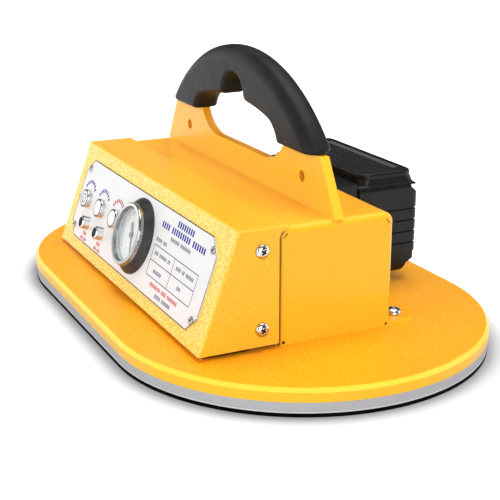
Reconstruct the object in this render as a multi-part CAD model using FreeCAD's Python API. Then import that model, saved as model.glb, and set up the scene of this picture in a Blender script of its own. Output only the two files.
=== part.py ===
import FreeCAD, Part
import math
import os

V = FreeCAD.Vector
X_AXIS = V(1, 0, 0)
Y_AXIS = V(0, 1, 0)
Z_AXIS = V(0, 0, 1)

# Base plate and the seal under it
base_length = 400.0
base_width = 243.0
lip_height = 2.4
lip_width = 24.0
foam_height = 6.6
foam_width = 32.0
seal_inset = 0.5
plate_thickness = 8.0
plate_chamfer = 2.2
port_x = 52.0
port_y = 8.0
port_radius = 3.0
filter_radius = 13.0
filter_thickness = 3.0
fit_gap = 0.1

# Folded sheet-metal box
sheet = 2.0
housing_length = 256.0
housing_depth = 78.6
housing_height = 72.6
housing_bend = 6.0
end_bend = 4.0
end_flange = 6.0
end_slit_length = 3.4
end_slit_width = 0.6
end_slit_inset = 5.0
end_hole_radius = 1.2
end_hole_inset = 1.7
foot_tab_width = 20.0
foot_tab_reach = 20.0
foot_tab_corner = 5.0
foot_screw_out = 9.4
window_width = 68.0
window_height = 26.0
window_center_height = 27.0
cable_hole_radius = 5.0

# Screws
screw_radius = 2.4
screw_hole_radius = 2.6
foot_head_radius = 5.3
foot_head_height = 4.2
foot_screw_length = 9.0
cover_head_radius = 4.4
cover_head_height = 3.0
dome_share = 0.8
cover_screw_length = 9.0
nut_flat_radius = 4.6
nut_height = 4.0

# Front cover with the sloping panel
cover_gap = 2.9
cover_foot_reach = 51.9
panel_lean = 19.9
cover_bend = 1.6
cover_lip_depth = 10.0
seam_gap = 0.3
cover_screw_out = 11.5
cover_screw_low = 13.4
cover_screw_high = 61.2
ear_reach = 20.0
ear_height = 16.0

# Handle plate
handle_y = 0.9
handle_thickness = 6.0
web_shoulder_height = 33.7
web_shoulder_half = 109.0
handle_hole_radius = 3.6
handle_hole_x = 86.5
handle_hole_height = 17.4
hand_floor_height = 18.7
hand_floor_half = 36.0
hand_corner_radius = 32.0

# Moulded grip over the arch of the handle plate
grip_height = 85.7
crown_radius = 140.0
palm_height = 52.3
palm_radius = 200.0
palm_half_length = 63.5
palm_corner_radius = 20.0
scallop_radius = 14.5
scallop_height = 53.2
ridge_round = 5.0
grip_thickness = 19.0
grip_outer_round = 8.5
grip_inner_round = 4.5
grip_end_round = 2.5
grip_wall = 4.0

# Label plate on the panel
label_half = 115.5
label_low = 8.7
label_high = 66.2
label_corner = 10.0
label_thickness = 0.8
label_screw_side_inset = 6.0
label_screw_end_inset = 7.0
label_screw_radius = 1.4
label_head_radius = 2.6
label_head_height = 1.4
label_screw_length = 4.0

# Push buttons and lamps
button_first_inset = 18.5
button_pitch = 29.3
button_rise = 38.4
collar_radius = 6.4
collar_height = 3.6
button_radius = 5.5
button_side_gap = 0.3
button_stand = 0.2
button_length = 7.0
button_travel = 1.5
thread_radius = 6.5
thread_length = 18.0
block_radius = 6.0
block_length = 9.0
pin_length = 4.5
pin_half = 0.4
panel_nut_radius = 9.0
panel_nut_height = 3.0
lamp_first_inset = 30.0
lamp_pitch = 29.6
lamp_rise = 22.8
lamp_radius = 4.6
lamp_height = 5.6
lamp_edge = 0.5
lens_radius = 3.7
lens_recess = 0.3
lens_length = 4.5
lamp_thread_radius = 4.0
lamp_thread_length = 14.0
lamp_nut_radius = 6.0

# Vacuum gauge
gauge_x = 1.9
gauge_rise = 37.6
flange_radius = 25.6
flange_height = 0.9
skirt_radius = 21.5
skirt_height = 5.2
case_radius = 19.2
case_wall = 1.6
case_back = 22.0
case_front = 6.9
bezel_radius = 21.0
bezel_front = 9.5
bezel_lip = 0.6
bezel_lip_height = 1.2
window_thickness = 1.4
dial_height = 3.2
dial_thickness = 0.8
needle_length = 12.5
needle_tail = 8.5
needle_width = 1.1
needle_lift = 0.5
needle_thickness = 0.5
needle_tail_flare = 1.6
needle_hub_radius = 1.9
needle_rest = 153.0
arbor_radius = 0.8
running_gap = 0.05
movement_radius = 9.0
stem_radius = 5.0
stem_length = 5.0
barb_radius = 2.4
barb_length = 9.0
clamp_radius = 24.0
clamp_height = 4.0

# Battery pack and its dock
battery_length = 120.0
battery_stand_off = 16.9
battery_depth = 45.7
battery_floor_gap = 6.0
battery_height = 63.5
battery_lid_depth = 3.0
battery_corner = 4.5
battery_end_round = 5.0
battery_foot_depth = 10.7
battery_hip_depth = 7.2
battery_hip_height = 6.0
belt_depth = 2.0
belt_low = 9.0
belt_high = 13.8
belt_step = 0.6
rib_stand = 1.0
rib_low = 11.9
rib_high = 8.5
slot_lead = 1.5
slot_depth = 5.0
slot_low = 4.0
slot_high = 2.5
cap_inset = 1.2
cap_edge = 1.7
cap_slope = 3.4
crown_panel_height = 7.0
crown_panel_inset = 3.0
crown_panel_rear = 1.6
crown_panel_corner = 8.0
crown_panel_round = 1.75
crown_skirt_rise = 3.4
crown_skirt_reach = 1.2
crown_recess_inset = 3.0
crown_recess_depth = 0.5
crown_strip_half = 45.0
crown_strip_rear = 5.0
crown_strip_width = 5.0
end_groove_width = 1.3
end_groove_depth = 1.2
end_groove_first = 20.5
end_groove_pitch = 8.0
end_groove_count = 4
rail_end_gap = 2.0
rail_half = 24.0
rail_thickness = 5.0
neck_half = 18.0
neck_depth = 5.0
rail_gap = 0.5
dock_wall = 5.0
dock_end_inset = 2.0
dock_base = 3.5
dock_screw_inset = 9.0
dock_screw_rise = 13.0
blade_rise = 8.0
blade_length = 18.0
blade_thickness = 1.0
blade_height = 9.0
blade_slot = 3.0
contact_thickness = 1.0
latch_length = 13.0
latch_half = 14.0
latch_stand = 7.0
latch_depth = 3.0
latch_travel = 3.0
latch_gap = 0.4

# Vacuum pump
pump_x = -62.0
pump_axis_height = 35.0
crankcase_length = 36.0
crankcase_half = 19.0
crankcase_wall = 4.0
crankcase_height = 46.0
pump_feet_height = 6.0
pump_feet_radius = 6.0
bracket_margin = 8.0
motor_radius = 18.0
motor_length = 57.0
motor_boss_radius = 5.0
motor_boss_length = 4.0
shaft_radius = 2.0
shaft_in_motor = 20.0
eccentric_radius = 6.0
eccentric_offset = 2.0
eccentric_width = 8.0
rod_width = 6.0
rod_eye_wall = 3.5
rod_stem_half = 3.0
rod_pad_radius = 9.0
rod_pad_height = 2.5
diaphragm_thickness = 1.5
head_height = 12.0
head_port_rise = 7.2
head_chamber_radius = 14.0
head_chamber_depth = 5.0
silencer_radius = 5.0
silencer_length = 14.0

# Manifold with its valves and sensor, hoses and control board
manifold_start_x = -2.0
manifold_length = 86.0
manifold_front = -4.0
manifold_depth = 24.0
manifold_height = 14.0
check_valve_x = 28.0
check_valve_radius = 6.0
check_valve_height = 22.0
release_valve_x = 50.0
release_valve_half = 10.0
release_valve_height = 32.0
plunger_radius = 4.0
plunger_length = 22.0
plunger_travel = 2.5
plunger_seat_gap = 0.2
sensor_x = 73.0
sensor_radius = 8.0
sensor_height = 20.0
hose_radius = 4.0
hose_bore = 2.5
hose_bend = 13.0
gauge_hose_bend = 6.4
board_start_x = 22.0
board_length = 86.0
board_height = 46.0
board_floor = 19.0
board_thickness = 1.6
board_hole_inset = 5.0
standoff_length = 6.0
standoff_radius = 3.0

# Levels and places that follow from the sizes above
plate_bottom = lip_height + foam_height
plate_top = plate_bottom + plate_thickness
housing_half = housing_length / 2
shell_half = housing_half - end_flange
end_inside = housing_half - sheet
depth_half = housing_depth / 2
housing_top = plate_top + housing_height
foot_screw_x = end_inside - foot_tab_width / 2
foot_screw_y = depth_half + foot_screw_out
cover_half = housing_half + sheet
cover_bottom = plate_top + cover_gap
cover_top = housing_top + sheet
cover_foot_y = -(depth_half + cover_foot_reach)
panel_slope = math.tan(math.radians(panel_lean))
cover_screw_y = -(depth_half + cover_screw_out)
cover_screw_levels = [plate_top + cover_screw_low, plate_top + cover_screw_high]
grip_bottom = housing_top + web_shoulder_height
crown_center = housing_top + grip_height - crown_radius
panel_place = FreeCAD.Placement(
    V(0, cover_foot_y, cover_bottom), FreeCAD.Rotation(X_AXIS, 90 - panel_lean))
button_places = [button_first_inset - label_half + i * button_pitch for i in range(3)]
lamp_places = [lamp_first_inset - label_half + i * lamp_pitch for i in range(2)]
battery_front = depth_half + battery_stand_off
battery_rear = battery_front + battery_depth
battery_floor = plate_top + battery_floor_gap
battery_top = battery_floor + battery_height
battery_half = battery_length / 2
battery_split = battery_front + battery_lid_depth
rail_length = battery_length - 2 * (latch_length + rail_end_gap)
dock_screw_x = rail_length / 2 - dock_screw_inset
rail_center = (battery_floor + battery_top + crown_panel_height) / 2
rail_front = battery_front - neck_depth - rail_thickness
pump_axis = plate_top + pump_axis_height
crankcase_bottom = plate_top + pump_feet_height + sheet
crankcase_top = crankcase_bottom + crankcase_height
motor_face = pump_x + crankcase_length / 2
head_bottom = crankcase_top + diaphragm_thickness
head_port = head_bottom + head_port_rise
manifold_top = plate_top + manifold_height
manifold_port = plate_top + manifold_height / 2
manifold_middle = manifold_front + manifold_depth / 2


def box(x0, x1, y0, y1, z0, z1):
    return Part.makeBox(x1 - x0, y1 - y0, z1 - z0, V(x0, y0, z0))


def cylinder(radius, length, start, direction=Z_AXIS):
    return Part.makeCylinder(radius, length, start, direction)


def polygon_prism(points, direction):
    return Part.Face(Part.makePolygon(points + points[:1])).extrude(direction)


def hexagon_nut(radius, bore, height, start, direction):
    blank = Part.makeCylinder(radius, height)
    for turn in range(6):
        flat = box(radius * math.cos(math.pi / 6), radius * 2, -radius, radius, 0, height)
        flat.rotate(V(0, 0, 0), Z_AXIS, 60 * turn)
        blank = blank.cut(flat)
    blank = blank.cut(Part.makeCylinder(bore, height))
    blank.Placement = FreeCAD.Placement(start, FreeCAD.Rotation(Z_AXIS, direction))
    return blank


def fillet_where(shape, radius, test):
    edges = [edge for edge in shape.Edges if test(edge)]
    return shape.makeFillet(radius, edges)


def screw(head, radius, length, seat, direction):
    whole = head.fuse(cylinder(radius, length, V(0, 0, -length)))
    whole.Placement = FreeCAD.Placement(seat, FreeCAD.Rotation(Z_AXIS, direction))
    return whole


def dome_head(radius, height):
    head = cylinder(radius, height, V(0, 0, 0))
    return fillet_where(head, height * dome_share, lambda e: e.BoundBox.ZMin > height - fit_gap)


def stadium(length, width, z0, height):
    radius = width / 2
    reach = length / 2 - radius
    start = Part.LineSegment(V(-reach, -radius, z0), V(reach, -radius, z0))
    right = Part.Arc(V(reach, -radius, z0), V(length / 2, 0, z0), V(reach, radius, z0))
    back = Part.LineSegment(V(reach, radius, z0), V(-reach, radius, z0))
    left = Part.Arc(V(-reach, radius, z0), V(-length / 2, 0, z0), V(-reach, -radius, z0))
    wire = Part.Wire([edge.toShape() for edge in (start, right, back, left)])
    return Part.Face(wire).extrude(V(0, 0, height))


def stadium_ring(inset, width, z0, height):
    length = base_length - 2 * inset
    depth = base_width - 2 * inset
    outer = stadium(length, depth, z0, height)
    return outer.cut(stadium(length - 2 * width, depth - 2 * width, z0, height))


def on_panel(shape):
    shape.Placement = panel_place.multiply(shape.Placement)
    return shape


def panel_cylinder(radius, low, high, x, rise):
    return on_panel(cylinder(radius, high - low, V(x, rise, low)))


# Base

def base_plate():
    plate = stadium(base_length, base_width, plate_bottom, plate_thickness)
    rim = [edge for edge in plate.Edges if edge.BoundBox.ZMin > plate_top - fit_gap]
    plate = plate.makeChamfer(plate_chamfer, rim)
    plate = plate.cut(cylinder(port_radius, plate_thickness, V(port_x, port_y, plate_bottom)))
    plate = plate.cut(cylinder(filter_radius, filter_thickness, V(port_x, port_y, plate_bottom)))
    for spot in foot_screw_spots():
        plate = plate.cut(cylinder(screw_hole_radius, plate_thickness, V(spot.x, spot.y, plate_bottom)))
    return plate


def foot_screw_spots():
    level = plate_top + sheet
    return [V(sx * foot_screw_x, sy * foot_screw_y, level) for sx in (-1, 1) for sy in (-1, 1)]


def seal_foam_ring():
    return stadium_ring(seal_inset, foam_width, lip_height, foam_height)


def seal_lip_ring():
    return stadium_ring(seal_inset, lip_width, 0, lip_height)


def intake_filter():
    return cylinder(filter_radius - fit_gap, filter_thickness, V(port_x, port_y, plate_bottom))


def foot_screws():
    head = dome_head(foot_head_radius, foot_head_height)
    return [screw(head, screw_radius, foot_screw_length, spot, Z_AXIS) for spot in foot_screw_spots()]


# Box

def box_section(grow, x0, x1, z0):
    top = housing_top + grow
    half = depth_half + grow
    radius = housing_bend + grow
    block = box(x0, x1, -half, half, z0, top)
    return fillet_where(block, radius, lambda e: is_along(e, X_AXIS) and e.BoundBox.ZMin > top - fit_gap)


def is_along(edge, direction):
    if not isinstance(edge.Curve, Part.Line):
        return False
    return abs(edge.tangentAt(edge.FirstParameter).dot(direction)) > 0.999


def housing_shell():
    shell = box_section(0, -shell_half, shell_half, plate_top)
    shell = shell.cut(box_section(-sheet, -shell_half, shell_half, plate_top))
    for side in (-1, 1):
        for front in (-1, 1):
            shell = shell.fuse(foot_tab(side, front))
    for spot in foot_screw_spots():
        shell = shell.cut(cylinder(screw_hole_radius, sheet, spot - V(0, 0, sheet)))
    window_z = plate_top + window_center_height
    window = obround_y(window_width, window_height, gauge_x, window_z)
    window.translate(V(0, -depth_half, 0))
    shell = shell.cut(window)
    cable = V(0, depth_half - sheet * 2, rail_center)
    shell = shell.cut(cylinder(cable_hole_radius, sheet * 3, cable, Y_AXIS))
    for spot in dock_screw_spots():
        start = spot - V(0, dock_base + sheet * 2, 0)
        shell = shell.cut(cylinder(screw_hole_radius, sheet * 3, start, Y_AXIS))
    return shell.removeSplitter()


def foot_tab(side, front):
    x0, x1 = sorted((side * (end_inside - foot_tab_width), side * end_inside))
    y0, y1 = sorted((front * (depth_half - sheet), front * (depth_half + foot_tab_reach)))
    tab = box(x0, x1, y0, y1, plate_top, plate_top + sheet)
    outer = front * (depth_half + foot_tab_reach)
    tab = fillet_where(tab, foot_tab_corner,
                       lambda e: is_along(e, Z_AXIS) and abs(e.CenterOfMass.y - outer) < fit_gap)
    return tab.cut(end_block(side, 0))


def obround_y(width, height, x, z):
    radius = height / 2
    reach = width / 2 - radius
    slot = box(x - reach, x + reach, -sheet * 2, sheet * 2, z - radius, z + radius)
    for side in (-1, 1):
        slot = slot.fuse(cylinder(radius, sheet * 4, V(x + side * reach, -sheet * 2, z), Y_AXIS))
    return slot


def end_block(side, inset):
    x0, x1 = sorted((side * shell_half, side * (housing_half - inset)))
    block = box_section(-inset, x0, x1, plate_top)
    face = side * (housing_half - inset)
    return fillet_where(block, end_bend - inset, lambda e: abs(e.CenterOfMass.x - face) < fit_gap
                        and e.BoundBox.ZMax > plate_top + fit_gap)


def end_plate(side):
    plate = end_block(side, 0).cut(end_block(side, sheet))
    x0 = min(side * end_inside, side * housing_half)
    for level in cover_screw_levels:
        plate = plate.fuse(cover_ear(side, level))
        plate = plate.cut(cylinder(screw_hole_radius, sheet, V(x0, cover_screw_y, level), X_AXIS))
    for front in (-1, 1):
        spot = V(x0, front * (depth_half - end_slit_inset), housing_top - end_slit_inset)
        slit = box(0, sheet, -end_slit_length / 2, end_slit_length / 2, 0, end_slit_width)
        slit.Placement = FreeCAD.Placement(spot, FreeCAD.Rotation(X_AXIS, -45 * front))
        plate = plate.cut(slit)
        hole = V(x0, front * (depth_half - end_hole_inset - end_bend / 2), plate_top + end_hole_inset)
        plate = plate.cut(cylinder(end_hole_radius, sheet, hole, X_AXIS))
    return plate.removeSplitter()


def cover_ear(side, level):
    low = level - ear_height / 2
    high = level + ear_height / 2
    x0, x1 = sorted((side * end_inside, side * housing_half))
    ear = box(x0, x1, -depth_half - ear_reach, -depth_half, low, high)
    ear = fillet_where(ear, ear_height / 4, lambda e: is_along(e, X_AXIS) and e.BoundBox.YMax < -depth_half)
    x0, x1 = sorted((side * shell_half, side * housing_half))
    return ear.fuse(box(x0, x1, -depth_half - sheet, -depth_half, low, high))


def cover_nuts():
    nuts = []
    for side in (-1, 1):
        for level in cover_screw_levels:
            seat = V(side * end_inside, cover_screw_y, level)
            nuts.append(hexagon_nut(nut_flat_radius, screw_radius + fit_gap, nut_height, seat,
                                    V(-side, 0, 0)))
    return nuts


# Front cover

def cover_block(inset, back_y, floor_z):
    half = cover_half - inset
    top = cover_top - inset
    foot_y = cover_foot_y + inset / math.cos(math.radians(panel_lean))
    radius = cover_bend - inset
    floor_y = foot_y + (floor_z - cover_bottom) * panel_slope
    brow_y = foot_y + (top - cover_bottom) * panel_slope
    profile = [V(-half, back_y, floor_z), V(-half, floor_y, floor_z),
               V(-half, brow_y, top), V(-half, back_y, top)]
    block = polygon_prism(profile, V(2 * half, 0, 0))
    if radius < fit_gap:
        return block
    return fillet_where(block, radius, lambda e: cover_fold(e, back_y, floor_z))


def cover_fold(edge, back_y, floor_z):
    at_back = edge.BoundBox.YMin > back_y - fit_gap
    at_floor = edge.BoundBox.ZMax < floor_z + fit_gap
    return not at_back and not at_floor


def front_cover():
    back = -depth_half + housing_bend
    outer = cover_block(0, back, cover_bottom)
    inner = cover_block(sheet, back + cover_bend, cover_bottom - cover_bend)
    cover = outer.cut(inner)
    lip = box(-cover_half + sheet, cover_half - sheet, cover_foot_y, cover_foot_y + cover_lip_depth,
              cover_bottom, cover_bottom + sheet)
    cover = cover.fuse(lip.common(outer))
    cover = cover.cut(box_section(seam_gap, -base_length, base_length, -base_width))
    for hole in panel_holes():
        cover = cover.cut(hole)
    for level in cover_screw_levels:
        start = V(-cover_half, cover_screw_y, level)
        cover = cover.cut(cylinder(screw_hole_radius, 2 * cover_half, start, X_AXIS))
    return cover.removeSplitter()


def panel_holes():
    low = -2 * sheet
    high = 2 * sheet
    holes = [panel_cylinder(thread_radius + fit_gap, low, high, x, button_rise) for x in button_places]
    holes += [panel_cylinder(lamp_thread_radius + fit_gap, low, high, x, lamp_rise) for x in lamp_places]
    holes.append(panel_cylinder(case_radius + fit_gap, low, high, gauge_x, gauge_rise))
    holes += [panel_cylinder(label_screw_radius + fit_gap, low, high, x, rise)
              for x, rise in label_screw_spots()]
    return holes


def cover_screws():
    screws = []
    for side in (-1, 1):
        for level in cover_screw_levels:
            seat = V(side * cover_half, cover_screw_y, level)
            head = dome_head(cover_head_radius, cover_head_height)
            screws.append(screw(head, screw_radius, cover_screw_length, seat, V(side, 0, 0)))
    return screws


# Label plate

def label_screw_spots():
    x = label_half - label_screw_side_inset
    return [(side * x, rise) for side in (-1, 1)
            for rise in (label_low + label_screw_end_inset, label_high - label_screw_end_inset)]


def label_plate():
    corner = label_corner
    right = [V(label_half - corner, label_low, 0), V(label_half, label_low + corner, 0),
             V(label_half, label_high - corner, 0), V(label_half - corner, label_high, 0)]
    left = [V(-p.x, p.y, 0) for p in reversed(right)]
    plate = on_panel(polygon_prism(right + left, V(0, 0, label_thickness)))
    for hole in panel_holes():
        plate = plate.cut(hole)
    return plate


def label_screws():
    return [on_panel(screw(dome_head(label_head_radius, label_head_height), label_screw_radius,
                           label_screw_length, V(x, rise, label_thickness), Z_AXIS))
            for x, rise in label_screw_spots()]


# Push buttons

def switch_body(x):
    low = label_thickness
    high = low + collar_height
    bore_floor = high + button_stand - button_length - button_travel - button_side_gap
    body = cylinder(collar_radius + button_side_gap, high - low, V(x, button_rise, low))
    body = fillet_where(body, collar_height / 6, lambda e: e.BoundBox.ZMin > high - fit_gap)
    body = body.fuse(cylinder(thread_radius, thread_length + low, V(x, button_rise, -thread_length)))
    bore = cylinder(button_radius + button_side_gap, high - bore_floor, V(x, button_rise, bore_floor))
    return on_panel(body.cut(bore))


def push_button(x):
    top = label_thickness + collar_height + button_stand
    cap = cylinder(button_radius, button_length, V(x, button_rise, top - button_length))
    cap = fillet_where(cap, button_stand, lambda e: e.BoundBox.ZMin > top - fit_gap)
    return on_panel(cap)


def switch_nuts():
    return [on_panel(hexagon_nut(panel_nut_radius, thread_radius + fit_gap, panel_nut_height,
                                 V(x, button_rise, -sheet), V(0, 0, -1))) for x in button_places]


def switch_blocks():
    blocks = []
    for x in button_places:
        block = cylinder(block_radius, block_length, V(x, button_rise, -thread_length - block_length))
        for side in (-1, 1):
            spot = x + side * block_radius / 2
            pin = box(spot - pin_half, spot + pin_half, button_rise - sheet, button_rise + sheet,
                      -thread_length - block_length - pin_length, -thread_length - block_length)
            block = block.fuse(pin)
        blocks.append(on_panel(block))
    return blocks


# Lamps

def lamp_bezels():
    bezels = []
    for x in lamp_places:
        top = label_thickness + lamp_height
        body = cylinder(lamp_radius, lamp_height, V(x, lamp_rise, label_thickness))
        body = body.makeChamfer(lamp_edge, [e for e in body.Edges if e.BoundBox.ZMin > top - fit_gap])
        stud = cylinder(lamp_thread_radius, lamp_thread_length + label_thickness,
                        V(x, lamp_rise, -lamp_thread_length))
        depth = lens_recess + lens_length
        pocket = cylinder(lens_radius + fit_gap, depth, V(x, lamp_rise, top - depth))
        bezels.append(on_panel(body.fuse(stud).cut(pocket)))
    return bezels


def lamp_lenses():
    lenses = []
    for x in lamp_places:
        top = label_thickness + lamp_height - lens_recess
        lens = cylinder(lens_radius, lens_length, V(x, lamp_rise, top - lens_length))
        lens = fillet_where(lens, lens_radius / 4, lambda e: e.BoundBox.ZMin > top - fit_gap)
        lenses.append(on_panel(lens))
    return lenses


def lamp_nuts():
    return [on_panel(hexagon_nut(lamp_nut_radius, lamp_thread_radius + fit_gap, panel_nut_height,
                                 V(x, lamp_rise, -sheet), V(0, 0, -1))) for x in lamp_places]


# Vacuum gauge

def gauge_cylinder(radius, low, high):
    return cylinder(radius, high - low, V(gauge_x, gauge_rise, low))


def gauge_flange():
    low = label_thickness
    ring = gauge_cylinder(flange_radius, low, low + flange_height)
    ring = ring.fuse(Part.makeCone(flange_radius, skirt_radius, skirt_height - flange_height,
                                   V(gauge_x, gauge_rise, low + flange_height)))
    return on_panel(ring.cut(gauge_cylinder(case_radius + fit_gap, low, low + skirt_height)))


def gauge_case():
    case = gauge_cylinder(case_radius, -case_back, case_front)
    case = case.cut(gauge_cylinder(case_radius - case_wall, -case_back + case_wall, case_front))
    return on_panel(case)


def gauge_bezel():
    low = label_thickness + skirt_height
    ring = gauge_cylinder(bezel_radius, low, bezel_front)
    ring = fillet_where(ring, bezel_lip_height, lambda e: e.BoundBox.ZMin > bezel_front - fit_gap)
    ring = ring.cut(gauge_cylinder(case_radius + fit_gap, low, bezel_front - bezel_lip_height))
    return on_panel(ring.cut(gauge_cylinder(case_radius - bezel_lip, low, bezel_front)))


def gauge_window():
    return on_panel(gauge_cylinder(case_radius, case_front, case_front + window_thickness))


def gauge_dial():
    dial = gauge_cylinder(case_radius - case_wall - fit_gap, dial_height, dial_height + dial_thickness)
    return on_panel(dial.cut(gauge_cylinder(2 * arbor_radius, dial_height, dial_height + dial_thickness)))


def gauge_needle():
    low = dial_height + dial_thickness + needle_lift
    half = needle_width / 2
    flare = half * needle_tail_flare
    pointer = polygon_prism([V(-flare, -needle_tail, low), V(flare, -needle_tail, low),
                             V(half, 0, low), V(half / 2, needle_length, low),
                             V(-half / 2, needle_length, low), V(-half, 0, low)], V(0, 0, needle_thickness))
    pointer = pointer.fuse(cylinder(needle_hub_radius, 2 * needle_thickness, V(0, 0, low)))
    pointer = pointer.fuse(cylinder(arbor_radius, low, V(0, 0, 0)))
    pointer.rotate(V(0, 0, 0), Z_AXIS, -needle_rest)
    pointer.translate(V(gauge_x, gauge_rise, 0))
    return on_panel(pointer)


def gauge_movement():
    block = gauge_cylinder(movement_radius, -case_back + case_wall, dial_height)
    return on_panel(block.cut(gauge_cylinder(arbor_radius + running_gap, -running_gap, dial_height)))


def gauge_stem():
    stem = gauge_cylinder(stem_radius, -case_back - stem_length, -case_back)
    barb = gauge_cylinder(barb_radius, -case_back - stem_length - barb_length, -case_back)
    return on_panel(stem.fuse(barb))


def gauge_clamp_ring():
    ring = gauge_cylinder(clamp_radius, -sheet - clamp_height, -sheet)
    return on_panel(ring.cut(gauge_cylinder(case_radius + fit_gap, -sheet - clamp_height, -sheet)))


# Handle

def arc_xz(center, radius, start, end):
    def spot(angle):
        return V(center.x + radius * math.cos(angle), 0, center.z + radius * math.sin(angle))
    return Part.Arc(spot(start), spot((start + end) / 2), spot(end)).toShape()


def tangent_center(big, big_radius, small_radius, half_length):
    x = half_length - small_radius
    gap = big_radius - small_radius
    return V(x, 0, big.z + math.sqrt(gap * gap - x * x))


def arch_face(inset):
    crown = V(0, 0, crown_center)
    start = math.asin((grip_bottom - crown_center) / (crown_radius - inset))
    outer = [arc_xz(crown, crown_radius - inset, math.pi - start, start)]
    inner = palm_edges(inset)
    ends = []
    for side in (-1, 1):
        spots = []
        for edges in (outer, inner):
            corners = [vertex for edge in edges for vertex in edge.Vertexes]
            spots.append(max(corners, key=lambda v: side * v.X).Point)
        ends.append(Part.LineSegment(*spots).toShape())
    return Part.Face(Part.Wire(Part.__sortEdges__(outer + inner + ends)))


def palm_edges(inset):
    palm = V(0, 0, housing_top + palm_height - palm_radius)
    heel = tangent_center(palm, palm_radius, palm_corner_radius, palm_half_length)
    small_radius = palm_corner_radius + inset
    turn = math.atan2(heel.z - palm.z, heel.x)
    end = math.asin((grip_bottom - heel.z) / small_radius)
    return [arc_xz(V(-heel.x, 0, heel.z), small_radius, math.pi - end, math.pi - turn),
            arc_xz(palm, palm_radius + inset, math.pi - turn, turn),
            arc_xz(heel, small_radius, turn, end)]


def arch_prism(inset, thickness):
    prism = arch_face(inset).extrude(V(0, thickness, 0))
    prism.translate(V(0, handle_y - thickness / 2, 0))
    notch = cylinder(scallop_radius + inset, thickness,
                     V(0, handle_y - thickness / 2, housing_top + scallop_height), Y_AXIS)
    return prism.cut(notch)


def handle_plate():
    floor = housing_top + hand_floor_height
    rise = grip_bottom - floor
    corner = V(hand_floor_half, 0, floor + hand_corner_radius)
    end = math.asin((rise - hand_corner_radius) / hand_corner_radius)
    curve = arc_xz(corner, hand_corner_radius, -math.pi / 2, end)
    other = arc_xz(V(-corner.x, 0, corner.z), hand_corner_radius, math.pi - end, 1.5 * math.pi)
    inner_x = curve.Vertexes[-1].X
    right = [V(inner_x, 0, grip_bottom), V(web_shoulder_half, 0, grip_bottom),
             V(housing_half, 0, housing_top)]
    outline = right + [V(-p.x, 0, p.z) for p in reversed(right)]
    edges = [Part.LineSegment(a, b).toShape() for a, b in zip(outline, outline[1:])]
    edges.append(Part.LineSegment(V(-hand_floor_half, 0, floor), V(hand_floor_half, 0, floor)).toShape())
    web = Part.Face(Part.Wire(Part.__sortEdges__(edges + [curve, other]))).extrude(V(0, handle_thickness, 0))
    web.translate(V(0, handle_y - handle_thickness / 2, 0))
    plate = web.fuse(arch_prism(grip_wall, handle_thickness))
    for side in (-1, 1):
        spot = V(side * handle_hole_x, handle_y - handle_thickness, housing_top + handle_hole_height)
        plate = plate.cut(cylinder(handle_hole_radius, 2 * handle_thickness, spot, Y_AXIS))
    return plate.removeSplitter()


def handle_grip():
    grip = arch_prism(0, grip_thickness)
    reach = scallop_radius + ridge_round
    grip = fillet_where(grip, ridge_round, lambda e: is_along(e, Y_AXIS) and abs(e.CenterOfMass.x) < reach)
    grip = fillet_where(grip, grip_outer_round, lambda e: side_edge(e) and is_crown(e))
    grip = fillet_where(grip, grip_inner_round, lambda e: side_edge(e) and not is_crown(e))
    grip = fillet_where(grip, grip_end_round, lambda e: e.BoundBox.ZMax < grip_bottom + fit_gap)
    return grip.cut(handle_plate())


def side_edge(edge):
    flat = edge.BoundBox.YLength < fit_gap
    at_side = abs(abs(edge.BoundBox.YMin - handle_y) - grip_thickness / 2) < fit_gap
    return flat and at_side and isinstance(edge.Curve, Part.Circle)


def is_crown(edge):
    return abs(edge.Curve.Center.z - crown_center) < fit_gap


# Battery dock

def dock_screw_spots():
    y = depth_half + dock_base
    return [V(sx * dock_screw_x, y, rail_center + sz * dock_screw_rise) for sx in (-1, 1) for sz in (-1, 1)]


def battery_dock():
    half = rail_half + rail_gap + dock_wall
    reach = rail_length / 2
    stop = reach + rail_gap
    floor = depth_half + dock_base
    mouth = battery_front - rail_gap
    dock = box(-reach, battery_half - dock_end_inset, depth_half, mouth,
               rail_center - half, rail_center + half)
    channel = rail_half + rail_gap
    dock = dock.cut(box(-reach, stop, floor, battery_front - neck_depth + rail_gap,
                        rail_center - channel, rail_center + channel))
    throat = neck_half + rail_gap
    dock = dock.cut(box(-reach, stop, floor, mouth, rail_center - throat, rail_center + throat))
    dock = dock.cut(cylinder(cable_hole_radius, dock_base, V(0, depth_half, rail_center), Y_AXIS))
    for spot in dock_screw_spots():
        dock = dock.cut(cylinder(screw_hole_radius, dock_base, spot - V(0, dock_base, 0), Y_AXIS))
    return dock


def dock_screws():
    height = rail_front - depth_half - dock_base - 2 * rail_gap
    head = cylinder(cover_head_radius, height, V(0, 0, 0))
    return [screw(head, screw_radius, dock_base + 2 * sheet, spot, Y_AXIS) for spot in dock_screw_spots()]


def dock_terminals():
    floor = depth_half + dock_base
    blades = []
    for side in (-1, 1):
        z = rail_center + side * blade_rise
        blades.append(box(0, blade_length, floor, floor + blade_height, z - blade_thickness / 2,
                          z + blade_thickness / 2))
    return blades


# Battery pack

def battery_profile():
    crest = battery_height
    steps = [(-battery_foot_depth, 0), (-battery_hip_depth, battery_hip_height), (-belt_depth, belt_low),
             (-belt_depth, belt_high), (0, belt_high + belt_step), (0, crest - rib_low - rib_stand),
             (rib_stand, crest - rib_low), (rib_stand, crest - rib_high),
             (-slot_lead, crest - rib_high + slot_lead), (-slot_depth, crest - slot_low),
             (-slot_depth, crest - slot_high), (-cap_inset, crest - slot_high),
             (-cap_inset, crest - cap_edge), (-cap_slope, crest)]
    outline = [V(-battery_half, battery_rear + back, battery_floor + rise) for back, rise in steps]
    first = V(-battery_half, battery_split, battery_floor)
    last = V(-battery_half, battery_split, battery_top)
    return [first] + outline + [last]


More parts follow.
